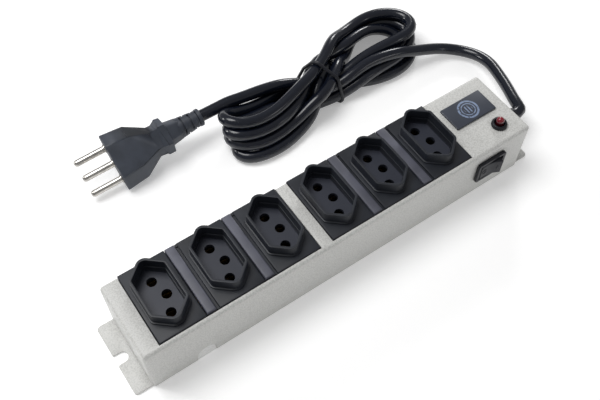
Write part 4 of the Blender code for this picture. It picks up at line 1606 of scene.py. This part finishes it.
@dataclass
class Studio:
    """Pale floor, soft lights and the camera."""

    eye: Point = (-0.1387, -0.1712, 0.3790)
    eye_turn: Point = (32.68104, -0.47442, -34.42666)
    lens: float = 48.06
    sensor: float = 36.0
    aim: Point = (0.03, 0.03, 0.0)
    sky: float = 0.3
    floor_size: float = 2500.0
    floor_level: float = -0.15
    floor_tone: Colour = (0.93, 0.93, 0.93)
    floor_patch: Colour = (0.95, 0.95, 0.95)
    floor_glow: float = 0.26
    lights: list[tuple[str, Point, float, float]] = field(
        default_factory=lambda: [
            ("key", (-0.25, 0.35, 0.95), 6.2, 0.6),
            ("rim", (0.75, 0.75, 0.45), 2.4, 0.25),
            ("streak", (-0.55, 0.55, 0.35), 1.2, 0.16),
            ("edge", (0.45, -0.8, 0.4), 0.3, 0.1),
        ]
    )

    def build(self) -> None:
        """Sets the stage."""
        scene = bpy.context.scene
        camera = bpy.data.objects.new("camera", bpy.data.cameras.new("camera"))
        camera.data.lens = self.lens
        camera.data.sensor_width = self.sensor
        camera.data.clip_start = 0.01
        camera.location = self.eye
        camera.rotation_euler = [math.radians(angle) for angle in self.eye_turn]
        scene.collection.objects.link(camera)
        scene.camera = camera
        scene.view_settings.view_transform = "Standard"
        world = bpy.data.worlds.new("studio")
        world.use_nodes = True
        scene.world = world
        backdrop = world.node_tree.nodes["Background"]
        backdrop.inputs[0].default_value = (1.0, 1.0, 1.0, 1.0)
        backdrop.inputs[1].default_value = self.sky
        for name, spot, power, size in self.lights:
            lamp = bpy.data.lights.new(name, "AREA")
            lamp.energy = power
            lamp.size = size
            lamp.shape = "DISK"
            stand = bpy.data.objects.new(name, lamp)
            stand.location = spot
            stand.rotation_euler = (Vector(self.aim) - Vector(spot)).to_track_quat("-Z", "Y").to_euler()
            scene.collection.objects.link(stand)
        self._floor()

    def _floor(self) -> None:
        """Plain pale floor just under the strip."""
        floor = Solid()
        bmesh.ops.create_grid(floor.bm, x_segments=2, y_segments=2, size=self.floor_size)
        floor.move(Matrix.Translation((0, 0, self.floor_level)))
        coat = Coating("pale_floor", self.floor_tone, 0.75)
        coat.feed("Base Color", coat.mix(coat.noise(300.0, 2.0), self.floor_tone, self.floor_patch))
        coat.shader.inputs["Emission Color"].default_value = (1.0, 1.0, 1.0, 1.0)
        coat.shader.inputs["Emission Strength"].default_value = self.floor_glow
        floor.object("floor", coat.material)


def main() -> None:
    """Builds the scene in order."""
    logging.basicConfig(level=logging.INFO, format="%(name)s: %(message)s")
    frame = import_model()
    maker = Maker(frame, Palette())
    Studio().build()
    Cord(maker).build()
    Housing(maker).build()
    Sockets(maker).build()
    EndCompartment(maker).build()


if __name__ == "__main__":
    main()
